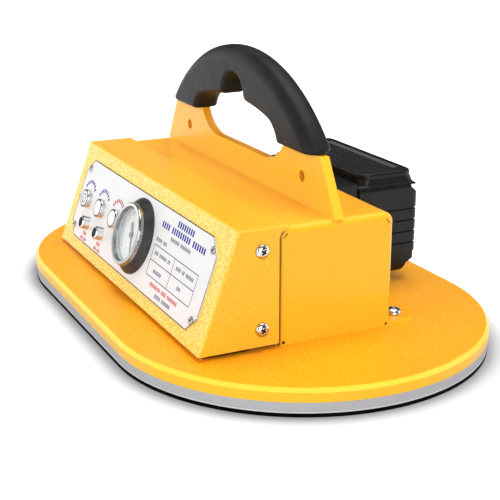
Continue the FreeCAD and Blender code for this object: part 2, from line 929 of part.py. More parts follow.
def battery_plan(rear, inset):
    half = battery_half - inset
    block = box(-half, half, battery_front, rear - inset, battery_floor, battery_top)
    return fillet_where(block, battery_corner - inset,
                        lambda e: is_along(e, Z_AXIS) and e.BoundBox.YMin > battery_front + fit_gap)


def battery_end(y0, y1):
    block = box(-battery_half, battery_half, y0, y1, battery_floor, battery_top)
    return fillet_where(block, battery_end_round, lambda e: is_along(e, Y_AXIS))


def battery_case():
    brim = battery_rear + rib_stand
    case = polygon_prism(battery_profile(), V(battery_length, 0, 0))
    case = case.common(battery_end(battery_split, brim)).common(battery_plan(brim, 0))
    core = battery_plan(battery_rear, end_groove_depth)
    for i in range(end_groove_count):
        z = battery_floor + end_groove_first + i * end_groove_pitch
        groove = box(-battery_length, battery_length, battery_split, brim, z - end_groove_width / 2,
                     z + end_groove_width / 2)
        case = case.cut(groove.cut(core))
    return case.fuse(crown_panel()).cut(latch_pocket()).removeSplitter()


def crown_panel():
    half = battery_half - crown_panel_inset
    rear = battery_rear - crown_panel_rear
    top = battery_top + crown_panel_height
    panel = rounded_block(half, battery_split, rear, battery_top, top, crown_panel_corner)
    panel = fillet_where(panel, crown_panel_round, lambda e: e.BoundBox.ZMin > top - fit_gap)
    foot = rounded_wire(half + crown_skirt_reach, battery_rear - cap_inset, battery_top - cap_edge,
                        battery_corner)
    brow = rounded_wire(half, rear, battery_top + crown_skirt_rise, crown_panel_corner)
    panel = panel.fuse(Part.makeLoft([foot, brow], True, True))
    inset = crown_recess_inset
    floor = top - crown_recess_depth
    panel = panel.cut(rounded_block(half - inset, battery_split + inset, rear - inset, floor, top,
                                    crown_panel_corner - inset))
    strip = rear - crown_strip_rear
    return panel.cut(box(-crown_strip_half, crown_strip_half, strip - crown_strip_width, strip,
                         floor - crown_recess_depth, floor))


def rounded_wire(half, rear, level, corner):
    block = rounded_block(half, battery_split, rear, level - sheet, level, corner)
    return max(block.Faces, key=lambda face: face.CenterOfMass.z).OuterWire


def rounded_block(half, y0, y1, z0, z1, corner):
    return fillet_where(box(-half, half, y0, y1, z0, z1), corner, lambda e: is_along(e, Z_AXIS))


def battery_lid():
    lid = battery_end(battery_front, battery_split)
    reach = rail_length / 2
    lid = lid.fuse(box(-reach, reach, battery_front - neck_depth, battery_front,
                       rail_center - neck_half, rail_center + neck_half))
    lid = lid.fuse(box(-reach, reach, rail_front, battery_front - neck_depth,
                       rail_center - rail_half, rail_center + rail_half))
    for side in (-1, 1):
        z = rail_center + side * blade_rise
        lid = lid.cut(box(-rail_gap, reach, rail_front, battery_front, z - blade_slot / 2,
                          z + blade_slot / 2))
    return lid.cut(latch_pocket()).removeSplitter()


def battery_contacts():
    contacts = []
    for side in (-1, 1):
        z = rail_center + side * blade_rise
        contacts.append(box(0, blade_length, battery_front - contact_thickness, battery_front,
                            z - blade_slot / 2, z + blade_slot / 2))
    return contacts


def latch_pocket():
    depth = latch_depth + latch_travel + latch_gap
    return box(-battery_half, -battery_half + latch_length + latch_gap, battery_front, battery_front + depth,
               rail_center - latch_half - latch_gap, rail_center + latch_half + latch_gap)


def battery_latch():
    latch = box(-battery_half + latch_gap, -battery_half + latch_length, battery_front - latch_stand,
                battery_front + latch_depth, rail_center - latch_half, rail_center + latch_half)
    return fillet_where(latch, latch_length / 6, lambda e: is_along(e, Z_AXIS)
                        and e.BoundBox.YMax < battery_front)


# Pump

def pump_feet():
    x = crankcase_length / 2 + bracket_margin - pump_feet_radius
    y = crankcase_half + bracket_margin - pump_feet_radius
    return [cylinder(pump_feet_radius, pump_feet_height, V(pump_x + sx * x, sy * y, plate_top))
            for sx in (-1, 1) for sy in (-1, 1)]


def pump_bracket():
    half_x = crankcase_length / 2 + bracket_margin
    half_y = crankcase_half + bracket_margin
    low = plate_top + pump_feet_height
    base = box(pump_x - half_x, pump_x + half_x, -half_y, half_y, low, low + sheet)
    return fillet_where(base, pump_feet_radius, lambda e: is_along(e, Z_AXIS))


def pump_block(inset, low, high):
    half_x = crankcase_length / 2 - inset
    half_y = crankcase_half - inset
    return box(pump_x - half_x, pump_x + half_x, -half_y, half_y, low, high)


def pump_crankcase():
    case = pump_block(0, crankcase_bottom, crankcase_top)
    case = fillet_where(case, crankcase_wall, lambda e: is_along(e, Z_AXIS))
    case = case.cut(pump_block(crankcase_wall, crankcase_bottom + crankcase_wall, crankcase_top))
    return case.cut(cylinder(shaft_radius * 1.5, crankcase_length, V(pump_x, 0, pump_axis), X_AXIS))


def pump_motor():
    motor = cylinder(motor_radius, motor_length, V(motor_face, 0, pump_axis), X_AXIS)
    motor = fillet_where(motor, sheet, lambda e: e.BoundBox.XMin > motor_face + motor_length - fit_gap)
    motor = motor.fuse(cylinder(motor_boss_radius, motor_boss_length,
                                V(motor_face + motor_length, 0, pump_axis), X_AXIS))
    return motor.cut(cylinder(shaft_radius + running_gap, shaft_in_motor + running_gap,
                              V(motor_face, 0, pump_axis), X_AXIS))


def pump_crank():
    end = pump_x - eccentric_width / 2
    crank = cylinder(shaft_radius, motor_face + shaft_in_motor - end, V(end, 0, pump_axis), X_AXIS)
    return crank.fuse(cylinder(eccentric_radius, eccentric_width,
                               V(end, 0, pump_axis + eccentric_offset), X_AXIS)).removeSplitter()


def pump_rod():
    center = pump_axis + eccentric_offset
    start = pump_x - rod_width / 2
    eye_radius = eccentric_radius + rod_eye_wall
    rod = cylinder(eye_radius, rod_width, V(start, 0, center), X_AXIS)
    rod = rod.fuse(box(pump_x - rod_stem_half, pump_x + rod_stem_half, -rod_stem_half, rod_stem_half,
                       center, crankcase_top - rod_pad_height))
    rod = rod.fuse(cylinder(rod_pad_radius, rod_pad_height, V(pump_x, 0, crankcase_top - rod_pad_height)))
    return rod.cut(cylinder(eccentric_radius + running_gap, rod_width, V(start, 0, center), X_AXIS))


def pump_diaphragm():
    membrane = pump_block(0, crankcase_top, head_bottom)
    return fillet_where(membrane, crankcase_wall, lambda e: is_along(e, Z_AXIS))


def pump_head():
    head = pump_block(0, head_bottom, head_bottom + head_height)
    head = fillet_where(head, crankcase_wall, lambda e: is_along(e, Z_AXIS))
    head = head.cut(cylinder(head_chamber_radius, head_chamber_depth, V(pump_x, 0, head_bottom)))
    return head.fuse(cylinder(barb_radius, barb_length, V(motor_face, 0, head_port), X_AXIS))


def exhaust_silencer():
    start = V(pump_x - crankcase_length / 2, 0, head_port)
    return cylinder(silencer_radius, silencer_length, start, V(-1, 0, 0))


# Manifold, valves, hoses and control board

def manifold():
    end = manifold_start_x + manifold_length
    back = manifold_front + manifold_depth
    block = box(manifold_start_x, end, manifold_front, back, plate_top, manifold_top)
    barb = V(gauge_x, manifold_front, manifold_port)
    block = block.fuse(cylinder(barb_radius, barb_length, barb, V(0, -1, 0)))
    block = block.cut(cylinder(port_radius, manifold_height / 2, V(port_x, port_y, plate_top)))
    bore = V(gauge_x, manifold_middle, manifold_port)
    return block.cut(cylinder(port_radius, port_x - gauge_x, bore, X_AXIS))


def check_valve():
    body = cylinder(check_valve_radius, check_valve_height, V(check_valve_x, manifold_middle, manifold_top))
    body = body.makeChamfer(check_valve_radius / 4, [e for e in body.Edges if e.BoundBox.ZMin > manifold_top])
    top = manifold_top + check_valve_height
    return body.fuse(cylinder(barb_radius, barb_length, V(check_valve_x, manifold_middle, top)))


def release_valve():
    half = release_valve_half
    body = box(release_valve_x - half, release_valve_x + half, manifold_middle - half, manifold_middle + half,
               manifold_top, manifold_top + release_valve_height)
    body = fillet_where(body, half / 5, lambda e: is_along(e, Z_AXIS))
    depth = plunger_length + plunger_travel + 2 * plunger_seat_gap
    seat = V(release_valve_x, manifold_middle, manifold_top)
    return body.cut(cylinder(plunger_radius + running_gap, depth, seat))


def valve_plunger():
    return cylinder(plunger_radius, plunger_length,
                    V(release_valve_x, manifold_middle, manifold_top + plunger_seat_gap))


def vacuum_sensor():
    body = cylinder(sensor_radius, sensor_height, V(sensor_x, manifold_middle, manifold_top))
    return body.makeChamfer(sensor_radius / 6, [e for e in body.Edges if e.BoundBox.ZMin > manifold_top])


def hose(points, bends):
    edges = []
    start = points[0]
    for before, corner, after, radius in zip(points, points[1:], points[2:], bends):
        toward = (before - corner).normalize()
        away = (after - corner).normalize()
        half_turn = (math.pi - toward.getAngle(away)) / 2
        reach = radius * math.tan(half_turn)
        first = corner + toward * reach
        last = corner + away * reach
        bisector = (toward + away).normalize()
        middle = corner + bisector * (radius / math.cos(half_turn) - radius)
        edges.append(Part.LineSegment(start, first).toShape())
        edges.append(Part.Arc(first, middle, last).toShape())
        start = last
    edges.append(Part.LineSegment(start, points[-1]).toShape())
    path = Part.Wire(edges)
    heading = points[1] - points[0]
    solids = []
    for radius in (hose_radius, hose_bore):
        ring = Part.Wire(Part.makeCircle(radius, points[0], heading))
        solids.append(path.makePipeShell([ring], True, False))
    return solids[0].cut(solids[1])


def vacuum_hoses():
    valve_top = V(check_valve_x, manifold_middle, manifold_top + check_valve_height + fit_gap)
    pump_end = V(motor_face + fit_gap, 0, head_port)
    turn = V(check_valve_x, manifold_middle, head_port)
    sidestep = V(pump_end.x + 2 * hose_bend, 0, head_port)
    pump_hose = hose([valve_top, turn, sidestep, pump_end], [hose_bend, hose_bend])
    stem_end = panel_place.multVec(V(gauge_x, gauge_rise, -case_back - stem_length - fit_gap))
    inward = panel_place.Rotation.multVec(V(0, 0, -1))
    drop = stem_end + inward * (barb_length + 2 * hose_radius)
    level = V(gauge_x, manifold_front - barb_length - hose_radius, manifold_port)
    gauge_hose = hose([stem_end, drop, level, V(gauge_x, manifold_front - fit_gap, manifold_port)],
                      [gauge_hose_bend, gauge_hose_bend])
    return [pump_hose, gauge_hose]


def board_hole_spots():
    z0 = plate_top + board_floor + board_hole_inset
    z1 = plate_top + board_floor + board_height - board_hole_inset
    x0 = board_start_x + board_hole_inset
    x1 = board_start_x + board_length - board_hole_inset
    return [(x, z) for x in (x0, x1) for z in (z0, z1)]


def control_board():
    back = depth_half - sheet - standoff_length
    low = plate_top + board_floor
    end = board_start_x + board_length
    board = box(board_start_x, end, back - board_thickness, back, low, low + board_height)
    return fillet_where(board, sheet, lambda e: is_along(e, Y_AXIS))


def board_standoffs():
    y = depth_half - sheet - standoff_length
    return [cylinder(standoff_radius, standoff_length, V(x, y, z), Y_AXIS) for x, z in board_hole_spots()]


def export_node(name, shape):
    solid = Part.makeCompound(shape) if isinstance(shape, list) else shape
    solid.exportStep(os.path.join("parts", name + ".step"))


nodes = {
    "base_plate": base_plate(),
    "seal_foam_ring": seal_foam_ring(),
    "seal_lip_ring": seal_lip_ring(),
    "intake_filter": intake_filter(),
    "foot_screws": foot_screws(),
    "housing_shell": housing_shell(),
    "left_end_plate": end_plate(-1),
    "right_end_plate": end_plate(1),
    "cover_nuts": cover_nuts(),
    "front_cover": front_cover(),
    "cover_screws": cover_screws(),
    "label_plate": label_plate(),
    "label_screws": label_screws(),
    "power_switch_body": switch_body(button_places[0]),
    "vacuum_switch_body": switch_body(button_places[1]),
    "release_switch_body": switch_body(button_places[2]),
    "power_button": push_button(button_places[0]),
    "vacuum_button": push_button(button_places[1]),
    "release_button": push_button(button_places[2]),
    "switch_nuts": switch_nuts(),
    "switch_blocks": switch_blocks(),
    "lamp_bezels": lamp_bezels(),
    "lamp_lenses": lamp_lenses(),
    "lamp_nuts": lamp_nuts(),
    "gauge_flange": gauge_flange(),
    "gauge_case": gauge_case(),
    "gauge_bezel": gauge_bezel(),
    "gauge_window": gauge_window(),
    "gauge_dial": gauge_dial(),
    "gauge_needle": gauge_needle(),
    "gauge_movement": gauge_movement(),
    "gauge_stem": gauge_stem(),
    "gauge_clamp_ring": gauge_clamp_ring(),
    "handle_plate": handle_plate(),
    "handle_grip": handle_grip(),
    "battery_dock": battery_dock(),
    "dock_screws": dock_screws(),
    "dock_terminals": dock_terminals(),
    "battery_case": battery_case(),
    "battery_lid": battery_lid(),
    "battery_contacts": battery_contacts(),
    "battery_latch": battery_latch(),
    "pump_feet": pump_feet(),
    "pump_bracket": pump_bracket(),
    "pump_crankcase": pump_crankcase(),
    "pump_motor": pump_motor(),
    "pump_crank": pump_crank(),
    "pump_rod": pump_rod(),
    "pump_diaphragm": pump_diaphragm(),
    "pump_head": pump_head(),
    "exhaust_silencer": exhaust_silencer(),
    "manifold": manifold(),
    "check_valve": check_valve(),
    "release_valve": release_valve(),
    "valve_plunger": valve_plunger(),
    "vacuum_sensor": vacuum_sensor(),
    "vacuum_hoses": vacuum_hoses(),
    "control_board": control_board(),
    "board_standoffs": board_standoffs(),
}

os.makedirs("parts", exist_ok=True)
for node_name, node_shape in nodes.items():
    export_node(node_name, node_shape)
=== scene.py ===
import math

import bmesh
import bpy
from mathutils import Matrix, Vector


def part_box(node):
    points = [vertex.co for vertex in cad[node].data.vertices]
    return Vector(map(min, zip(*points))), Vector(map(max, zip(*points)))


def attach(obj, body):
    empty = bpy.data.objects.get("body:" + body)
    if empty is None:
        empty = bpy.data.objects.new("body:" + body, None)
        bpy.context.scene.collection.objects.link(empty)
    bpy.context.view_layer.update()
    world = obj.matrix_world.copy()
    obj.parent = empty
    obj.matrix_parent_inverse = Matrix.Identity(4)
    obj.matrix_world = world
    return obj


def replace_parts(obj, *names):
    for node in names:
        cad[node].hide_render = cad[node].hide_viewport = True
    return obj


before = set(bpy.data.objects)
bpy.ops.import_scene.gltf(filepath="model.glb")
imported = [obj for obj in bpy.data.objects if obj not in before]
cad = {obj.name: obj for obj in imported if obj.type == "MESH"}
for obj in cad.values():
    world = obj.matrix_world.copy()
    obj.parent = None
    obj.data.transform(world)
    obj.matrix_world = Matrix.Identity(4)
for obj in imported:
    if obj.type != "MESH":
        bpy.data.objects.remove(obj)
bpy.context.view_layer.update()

# Seal lip: the soft black rubber ring that touches the load.
# It is moulded in one piece and bonded under the foam ring.

RUBBER_DARK = (0.0008, 0.0008, 0.0008, 1)
RUBBER_LIGHT = (0.0022, 0.0022, 0.0022, 1)


def shader_of(finish):
    """The surface shader of a material."""
    return finish.node_tree.nodes["Principled BSDF"]


def new_finish(name, roughness, metallic=0.0, specular=0.5):
    """A material whose shader starts from these fixed values."""
    finish = bpy.data.materials.new(name)
    finish.use_nodes = True
    inputs = shader_of(finish).inputs
    inputs["Roughness"].default_value = roughness
    inputs["Metallic"].default_value = metallic
    inputs["Specular IOR Level"].default_value = specular
    return finish


def texture(finish, kind, scale):
    """A texture in the piece's own metres; scale is in features per metre."""
    tree = finish.node_tree
    place = tree.nodes.get("Texture Coordinate") or tree.nodes.new("ShaderNodeTexCoord")
    pattern = tree.nodes.new("ShaderNodeTex" + kind)
    pattern.inputs["Scale"].default_value = scale
    tree.links.new(place.outputs["Object"], pattern.inputs["Vector"])
    return pattern


def noise(finish, scale, detail):
    """Cloudy noise; detail is how many finer layers it has."""
    clouds = texture(finish, "Noise", scale)
    clouds.inputs["Detail"].default_value = detail
    return clouds


def tint(finish, pattern, dark, light, low=0.35, high=0.65):
    """Runs the base colour from dark to light with a pattern."""
    tree = finish.node_tree
    ramp = tree.nodes.new("ShaderNodeValToRGB")
    ramp.color_ramp.elements[0].position = low
    ramp.color_ramp.elements[0].color = dark
    ramp.color_ramp.elements[1].position = high
    ramp.color_ramp.elements[1].color = light
    tree.links.new(pattern.outputs[0], ramp.inputs["Fac"])
    tree.links.new(ramp.outputs["Color"], shader_of(finish).inputs["Base Color"])


def dull(finish, pattern, low, high):
    """Varies the roughness between two values with a pattern."""
    tree = finish.node_tree
    spread = tree.nodes.new("ShaderNodeMapRange")
    spread.inputs["To Min"].default_value = low
    spread.inputs["To Max"].default_value = high
    tree.links.new(pattern.outputs[0], spread.inputs["Value"])
    tree.links.new(spread.outputs["Result"], shader_of(finish).inputs["Roughness"])


def emboss(finish, pattern, strength, depth):
    """Raises the pattern on the surface; a second call adds to the first."""
    tree = finish.node_tree
    normal = shader_of(finish).inputs["Normal"]
    relief = tree.nodes.new("ShaderNodeBump")
    relief.inputs["Strength"].default_value = strength
    relief.inputs["Distance"].default_value = depth
    if normal.is_linked:
        tree.links.new(normal.links[0].from_socket, relief.inputs["Normal"])
    tree.links.new(pattern.outputs[0], relief.inputs["Height"])
    tree.links.new(relief.outputs["Normal"], normal)


def dress(finish, *names):
    """Gives CAD nodes a finish."""
    for name in names:
        cad[name].data.materials.clear()
        cad[name].data.materials.append(finish)


seal_rubber = new_finish("seal_rubber", roughness=0.6, specular=0.03)
tint(seal_rubber, noise(seal_rubber, scale=90, detail=4), RUBBER_DARK, RUBBER_LIGHT)
dull(seal_rubber, noise(seal_rubber, scale=40, detail=3), low=0.5, high=0.7)
emboss(seal_rubber, noise(seal_rubber, scale=900, detail=2), strength=0.2, depth=0.0002)
dress(seal_rubber, "seal_lip_ring")

# Foam ring: closed-cell grey foam cut from sheet, glued under the plate.
# Its cut edge shows the cells, and a painted highlight runs along its lower edge by the lip.

FOAM_CELL = (0.45, 0.45, 0.47, 1)
FOAM_SKIN = (0.50, 0.50, 0.52, 1)
FOAM_EDGE_HIGHLIGHT = (0.70, 0.70, 0.72, 1)
FOAM_HIGHLIGHT_LEVELS = (0.0034, 0.0028)


def overlay(finish, share, colour):
    """Lays a colour over the base colour, as far as a share of 0 to 1 says."""
    tree = finish.node_tree
    base = shader_of(finish).inputs["Base Color"]
    blend = tree.nodes.new("ShaderNodeMix")
    blend.data_type = "RGBA"
    blend.inputs["B"].default_value = colour
    tree.links.new(share, blend.inputs["Factor"])
    tree.links.new(base.links[0].from_socket, blend.inputs["A"])
    tree.links.new(blend.outputs["Result"], base)


def measure(finish, output, axis, start, end):
    """Runs from 0 to 1 as the place or the normal along one axis goes from start to end."""
    tree = finish.node_tree
    split = tree.nodes.new("ShaderNodeSeparateXYZ")
    run = tree.nodes.new("ShaderNodeMapRange")
    run.inputs["From Min"].default_value = start
    run.inputs["From Max"].default_value = end
    tree.links.new(tree.nodes["Texture Coordinate"].outputs[output], split.inputs[0])
    tree.links.new(split.outputs[axis], run.inputs["Value"])
    return run.outputs["Result"]


def placed(finish, axis, start, end):
    """A share by the place along an axis, in metres."""
    return measure(finish, "Object", axis, start, end)


def facing(finish, axis, start, end):
    """A share by how far the surface faces along an axis, from -1 to 1."""
    return measure(finish, "Normal", axis, start, end)


def both(finish, first, second):
    """The product of two shares."""
    product = finish.node_tree.nodes.new("ShaderNodeMath")
    product.operation = "MULTIPLY"
    finish.node_tree.links.new(first, product.inputs[0])
    finish.node_tree.links.new(second, product.inputs[1])
    return product.outputs[0]


seal_foam = new_finish("seal_foam", roughness=0.9, specular=0.2)
foam_cells = texture(seal_foam, "Voronoi", scale=900)
tint(seal_foam, foam_cells, FOAM_SKIN, FOAM_CELL, low=0.1, high=0.7)
# Painted highlight: a pale band along the foam's lower edge.
overlay(seal_foam, placed(seal_foam, "Z", *FOAM_HIGHLIGHT_LEVELS), FOAM_EDGE_HIGHLIGHT)
emboss(seal_foam, foam_cells, strength=0.12, depth=0.0003)
dress(seal_foam, "seal_foam_ring")

# Base plate: thick plate with a chamfered top edge, powder coated yellow. The coat
# has the fine waviness of powder that melted and flowed. Painted highlights lighten the
# chamfer and the sides, and painted shade darkens the plate where the front cover stands over it.

PAINT_DEEP = (0.97, 0.368, 0.010, 1)
PAINT_BRIGHT = (1.0, 0.450, 0.016, 1)
CHAMFER_HIGHLIGHT = (1.0, 0.65, 0.054, 1)
CHAMFER_FACING_LOW = (0.5, 0.62)
CHAMFER_FACING_HIGH = (0.9, 0.8)
SIDE_PAINTED_LIGHT = (1.0, 0.54, 0.022, 1)
SIDE_FACING = (0.35, 0.2)
COVERED_SHADE = (0.26, 0.115, 0.028, 1)
COVERED_HALF = 0.1268
COVERED_FRONT = -0.0876
COVERED_REAR = -0.0380
COVERED_FADE = 0.001


def powder_coat(name, deep, bright, peel):
    """Yellow powder coat; peel is how strongly its orange-peel surface shows."""
    coat = new_finish(name, roughness=0.26, specular=0.22)
    skin = noise(coat, scale=520, detail=2.5)
    tint(coat, skin, deep, bright, low=0.3, high=0.7)
    dull(coat, noise(coat, scale=120, detail=3), low=0.17, high=0.26)
    emboss(coat, skin, strength=peel, depth=0.0008)
    return coat


# The plate's yellow is set deeper than the other yellow parts': painted shade for its upward faces.
plate_coat = powder_coat("plate_powder_coat", PAINT_DEEP, PAINT_BRIGHT, peel=0.65)
# Painted highlight: the chamfer is given a paler yellow.
slanted = both(plate_coat, facing(plate_coat, "Z", *CHAMFER_FACING_LOW),
               facing(plate_coat, "Z", *CHAMFER_FACING_HIGH))
overlay(plate_coat, slanted, CHAMFER_HIGHLIGHT)
# Painted light: the plate's upright sides are given a paler yellow.
overlay(plate_coat, facing(plate_coat, "Z", *SIDE_FACING), SIDE_PAINTED_LIGHT)
# Painted shade: the plate is darkened where the front cover stands over it.
across = both(plate_coat, placed(plate_coat, "X", -COVERED_HALF, COVERED_FADE - COVERED_HALF),
              placed(plate_coat, "X", COVERED_HALF, COVERED_HALF - COVERED_FADE))
along = both(plate_coat, placed(plate_coat, "Y", COVERED_FRONT, COVERED_FRONT + COVERED_FADE),
             placed(plate_coat, "Y", COVERED_REAR, COVERED_REAR - COVERED_FADE))
overlay(plate_coat, both(plate_coat, across, along), COVERED_SHADE)
dress(plate_coat, "base_plate")

# Intake filter: a sintered bronze disc pressed into the plate's port from below.
# The sintered grains show as a fine bright and dark texture.

BRONZE_GRAIN = (0.10, 0.06, 0.025, 1)
BRONZE_LIGHT = (0.42, 0.28, 0.13, 1)

sintered_bronze = new_finish("sintered_bronze", roughness=0.5, metallic=1.0)
bronze_grains = texture(sintered_bronze, "Voronoi", scale=1600)
tint(sintered_bronze, bronze_grains, BRONZE_LIGHT, BRONZE_GRAIN, low=0.1, high=0.8)
emboss(sintered_bronze, bronze_grains, strength=0.6, depth=0.0005)
dress(sintered_bronze, "intake_filter")

# Housing box: sheet steel folded to an inverted U with foot tabs, closed by two end
# plates with bent rims, all powder coated yellow. Painted shade darkens the seam along
# the front cover, and the tabs that the cover stands over.

SHEET_DEEP = (0.98, 0.505, 0.022, 1)
SHEET_BRIGHT = (1.0, 0.540, 0.030, 1)
SEAM_SHADE = (0.150, 0.052, 0.006, 1)
SEAM_REACH = (-0.0366, -0.0378)
SEAM_FACING_FRONT = (-0.15, -0.4)
SEAM_FACING_UP = (0.1, 0.3)
SHELL_DEEP = (0.98, 0.430, 0.016, 1)
SHELL_BRIGHT = (1.0, 0.490, 0.026, 1)
TAB_COAT = (0.99, 0.405, 0.013, 1)
TAB_LEVELS = (0.0240, 0.0225)
TAB_EDGE_PAINTED_LIGHT = (1.0, 0.56, 0.030, 1)
TAB_EDGE_FACING = (0.6, 0.3)
COVERED_TAB_REACH = (-0.0385, -0.0400)

# The end plates' yellow is set lighter than the shell's: painted light for their sides.
end_coat = powder_coat("end_powder_coat", SHEET_DEEP, SHEET_BRIGHT, peel=0.2)
# Painted shade: a dark band along the end plates' front edges, in the seam by the cover.
overlay(end_coat, placed(end_coat, "Y", *SEAM_REACH), SEAM_SHADE)
# Painted shade also at the seam's top corner.
seam_corner = both(end_coat, facing(end_coat, "Y", *SEAM_FACING_FRONT),
                   facing(end_coat, "Z", *SEAM_FACING_UP))
overlay(end_coat, seam_corner, SEAM_SHADE)
dress(end_coat, "left_end_plate", "right_end_plate")

# The shell's yellow is set deeper than the end plates': painted shade for its top.
shell_coat = powder_coat("shell_powder_coat", SHELL_DEEP, SHELL_BRIGHT, peel=0.3)
tab_zone = placed(shell_coat, "Z", *TAB_LEVELS)
overlay(shell_coat, tab_zone, TAB_COAT)
# Painted light: the tabs' upright edges are given a paler yellow.
overlay(shell_coat, both(shell_coat, tab_zone, facing(shell_coat, "Z", *TAB_EDGE_FACING)), TAB_EDGE_PAINTED_LIGHT)
# Painted shade: the foot tabs that the cover stands over are darkened.
overlay(shell_coat, both(shell_coat, tab_zone, placed(shell_coat, "Y", *COVERED_TAB_REACH)), COVERED_SHADE)
dress(shell_coat, "housing_shell")

# Foot screws: plated pan-head screws with a cross recess, through the foot tabs
# into the plate. A dark sheet on each recess floor is painted shade.

CHROME_DARK = (0.46, 0.46, 0.48, 1)
CHROME_LIGHT = (0.64, 0.64, 0.66, 1)
RECESS_SHADE_DARK = (0.006, 0.006, 0.006, 1)
RECESS_SHADE_LIGHT = (0.020, 0.019, 0.018, 1)
FOOT_HEAD_RADIUS = 0.0053
FOOT_HEAD_HEIGHT = 0.0042
HEAD_STEPS = 40
DOME_STEPS = 8
FIRST_TURN = 17
NEXT_TURN = 41

# Shares of a screw head: widths and reaches of its radius, rises and depths of its height.

SEAT_RADIUS = 0.97
SEAT_RISE = 0.06
RIM_RISE = 0.28
CROSS_WIDTH = 0.26
CROSS_REACH = 0.56
CROSS_DEPTH = 0.62
CROSS_TAPER = 0.45
FLOOR_REACH = 0.46
FLOOR_HALF = 0.125
FLOOR_RISE = 0.66


def mesh_piece(name, mesh, finish, body):
    """A new piece of the object that rides on a CAD body."""
    shape = bpy.data.meshes.new(name)
    mesh.to_mesh(shape)
    mesh.free()
    shape.materials.append(finish)
    piece = bpy.data.objects.new(name, shape)
    bpy.context.scene.collection.objects.link(piece)
    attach(piece, body)
    return piece


def lathe(mesh, profile, steps):
    """Turns an open profile of (radius, height) points about the Z axis."""
    rings = []
    for radius, height in profile:
        ring = []
        for i in range(steps if radius else 1):
            turn = 2 * math.pi * i / steps
            ring.append(mesh.verts.new((radius * math.cos(turn), radius * math.sin(turn), height)))
        rings.append(ring)
    for low, high in zip(rings, rings[1:]):
        for i in range(steps):
            j = (i + 1) % steps
            corners = [low[i % len(low)], low[j % len(low)], high[j % len(high)], high[i % len(high)]]
            mesh.faces.new(list(dict.fromkeys(corners))).smooth = True


def cross_recess(width, reach, depth, top):
    """Four tapered slots that meet in the middle, as a cutter."""
    cutter = bmesh.new()
    for turn in (0, 90):
        slot = bmesh.ops.create_cube(cutter, size=1)["verts"]
        for vert in slot:
            upper = vert.co.z > 0
            length = 2 * reach * (1.0 if upper else CROSS_TAPER)
            level = top + depth / 2 if upper else top - depth
            vert.co = Vector((vert.co.x * length, vert.co.y * width, level))
        about_z = Matrix.Rotation(math.radians(turn), 3, "Z")
        bmesh.ops.rotate(cutter, verts=slot, cent=(0, 0, 0), matrix=about_z)
    return cutter


def cut(mesh, cutter):
    """Takes a cutter out of a closed mesh."""
    blanks = []
    for part in (mesh, cutter):
        shape = bpy.data.meshes.new("cutting")
        part.to_mesh(shape)
        part.free()
        blanks.append(bpy.data.objects.new("cutting", shape))
        bpy.context.scene.collection.objects.link(blanks[-1])
    saw = blanks[0].modifiers.new("saw", "BOOLEAN")
    saw.object = blanks[1]
    saw.solver = "EXACT"
    saw.use_self = True
    left = bmesh.new()
    left.from_object(blanks[0], bpy.context.evaluated_depsgraph_get())
    for blank in blanks:
        bpy.data.objects.remove(blank)
    return left


def pan_head(radius, height, slot_turn):
    """A domed screw head with a cross recess, seated on the local XY plane."""
    rim = RIM_RISE * height
    profile = [(0, 0), (radius * SEAT_RADIUS, 0), (radius, SEAT_RISE * height), (radius, rim)]
    for i in range(1, DOME_STEPS + 1):
        angle = math.pi / 2 * i / DOME_STEPS
        reach = radius * math.cos(angle) if i < DOME_STEPS else 0
        profile.append((reach, rim + (height - rim) * math.sin(angle)))
    head = bmesh.new()
    lathe(head, profile, HEAD_STEPS)
    head = cut(head, cross_recess(CROSS_WIDTH * radius, CROSS_REACH * radius, CROSS_DEPTH * height, height))
    about_z = Matrix.Rotation(math.radians(slot_turn), 3, "Z")
    bmesh.ops.rotate(head, verts=head.verts, cent=(0, 0, 0), matrix=about_z)
    return head


def cross_floor(radius, height, slot_turn):
    """Painted shade on the floor of a cross recess, as one cross-shaped face."""
    floor_face = bmesh.new()
    corners = []
    for turn in range(0, 360, 90):
        arm = Matrix.Rotation(math.radians(slot_turn + turn), 3, "Z")
        for out, aside in ((FLOOR_REACH, -FLOOR_HALF), (FLOOR_REACH, FLOOR_HALF), (FLOOR_HALF, FLOOR_HALF)):
            corner = Vector((out * radius, aside * radius, FLOOR_RISE * height))
            corners.append(floor_face.verts.new(arm @ corner))
    floor_face.faces.new(corners)
    return floor_face


def screw_set(name, radius, height, seats, finish, node):
    """Like screw heads at several seats; a seat is its place and its outward axis."""
    heads = bmesh.new()
    floors = bmesh.new()
    for count, (spot, axis) in enumerate(seats):
        seat = Matrix.Translation(spot) @ axis.to_track_quat("Z", "Y").to_matrix().to_4x4()
        slot_turn = FIRST_TURN + NEXT_TURN * count
        head = pan_head(radius, height, slot_turn)
        floor_face = cross_floor(radius, height, slot_turn)
        for whole, made in ((heads, head), (floors, floor_face)):
            bmesh.ops.transform(made, verts=made.verts, matrix=seat)
            shape = bpy.data.meshes.new("head")
            made.to_mesh(shape)
            made.free()
            whole.from_mesh(shape)
            bpy.data.meshes.remove(shape)
    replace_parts(mesh_piece(name, heads, finish, "chassis"), node)
    mesh_piece(name + "_recesses", floors, recess_shade, "chassis")


def plating(name, dark, light):
    """Bright plated steel, a little cloudy."""
    metal = new_finish(name, roughness=0.16, metallic=1.0)
    tint(metal, noise(metal, scale=250, detail=2), dark, light)
    dull(metal, noise(metal, scale=400, detail=2), low=0.08, high=0.15)
    return metal


# Painted shade: dark sheets on the floors of the cross recesses.
recess_shade = new_finish("recess_shade", roughness=0.6, specular=0.1)
tint(recess_shade, noise(recess_shade, scale=900, detail=2), RECESS_SHADE_DARK, RECESS_SHADE_LIGHT)
plated_steel = plating("plated_steel", CHROME_DARK, CHROME_LIGHT)

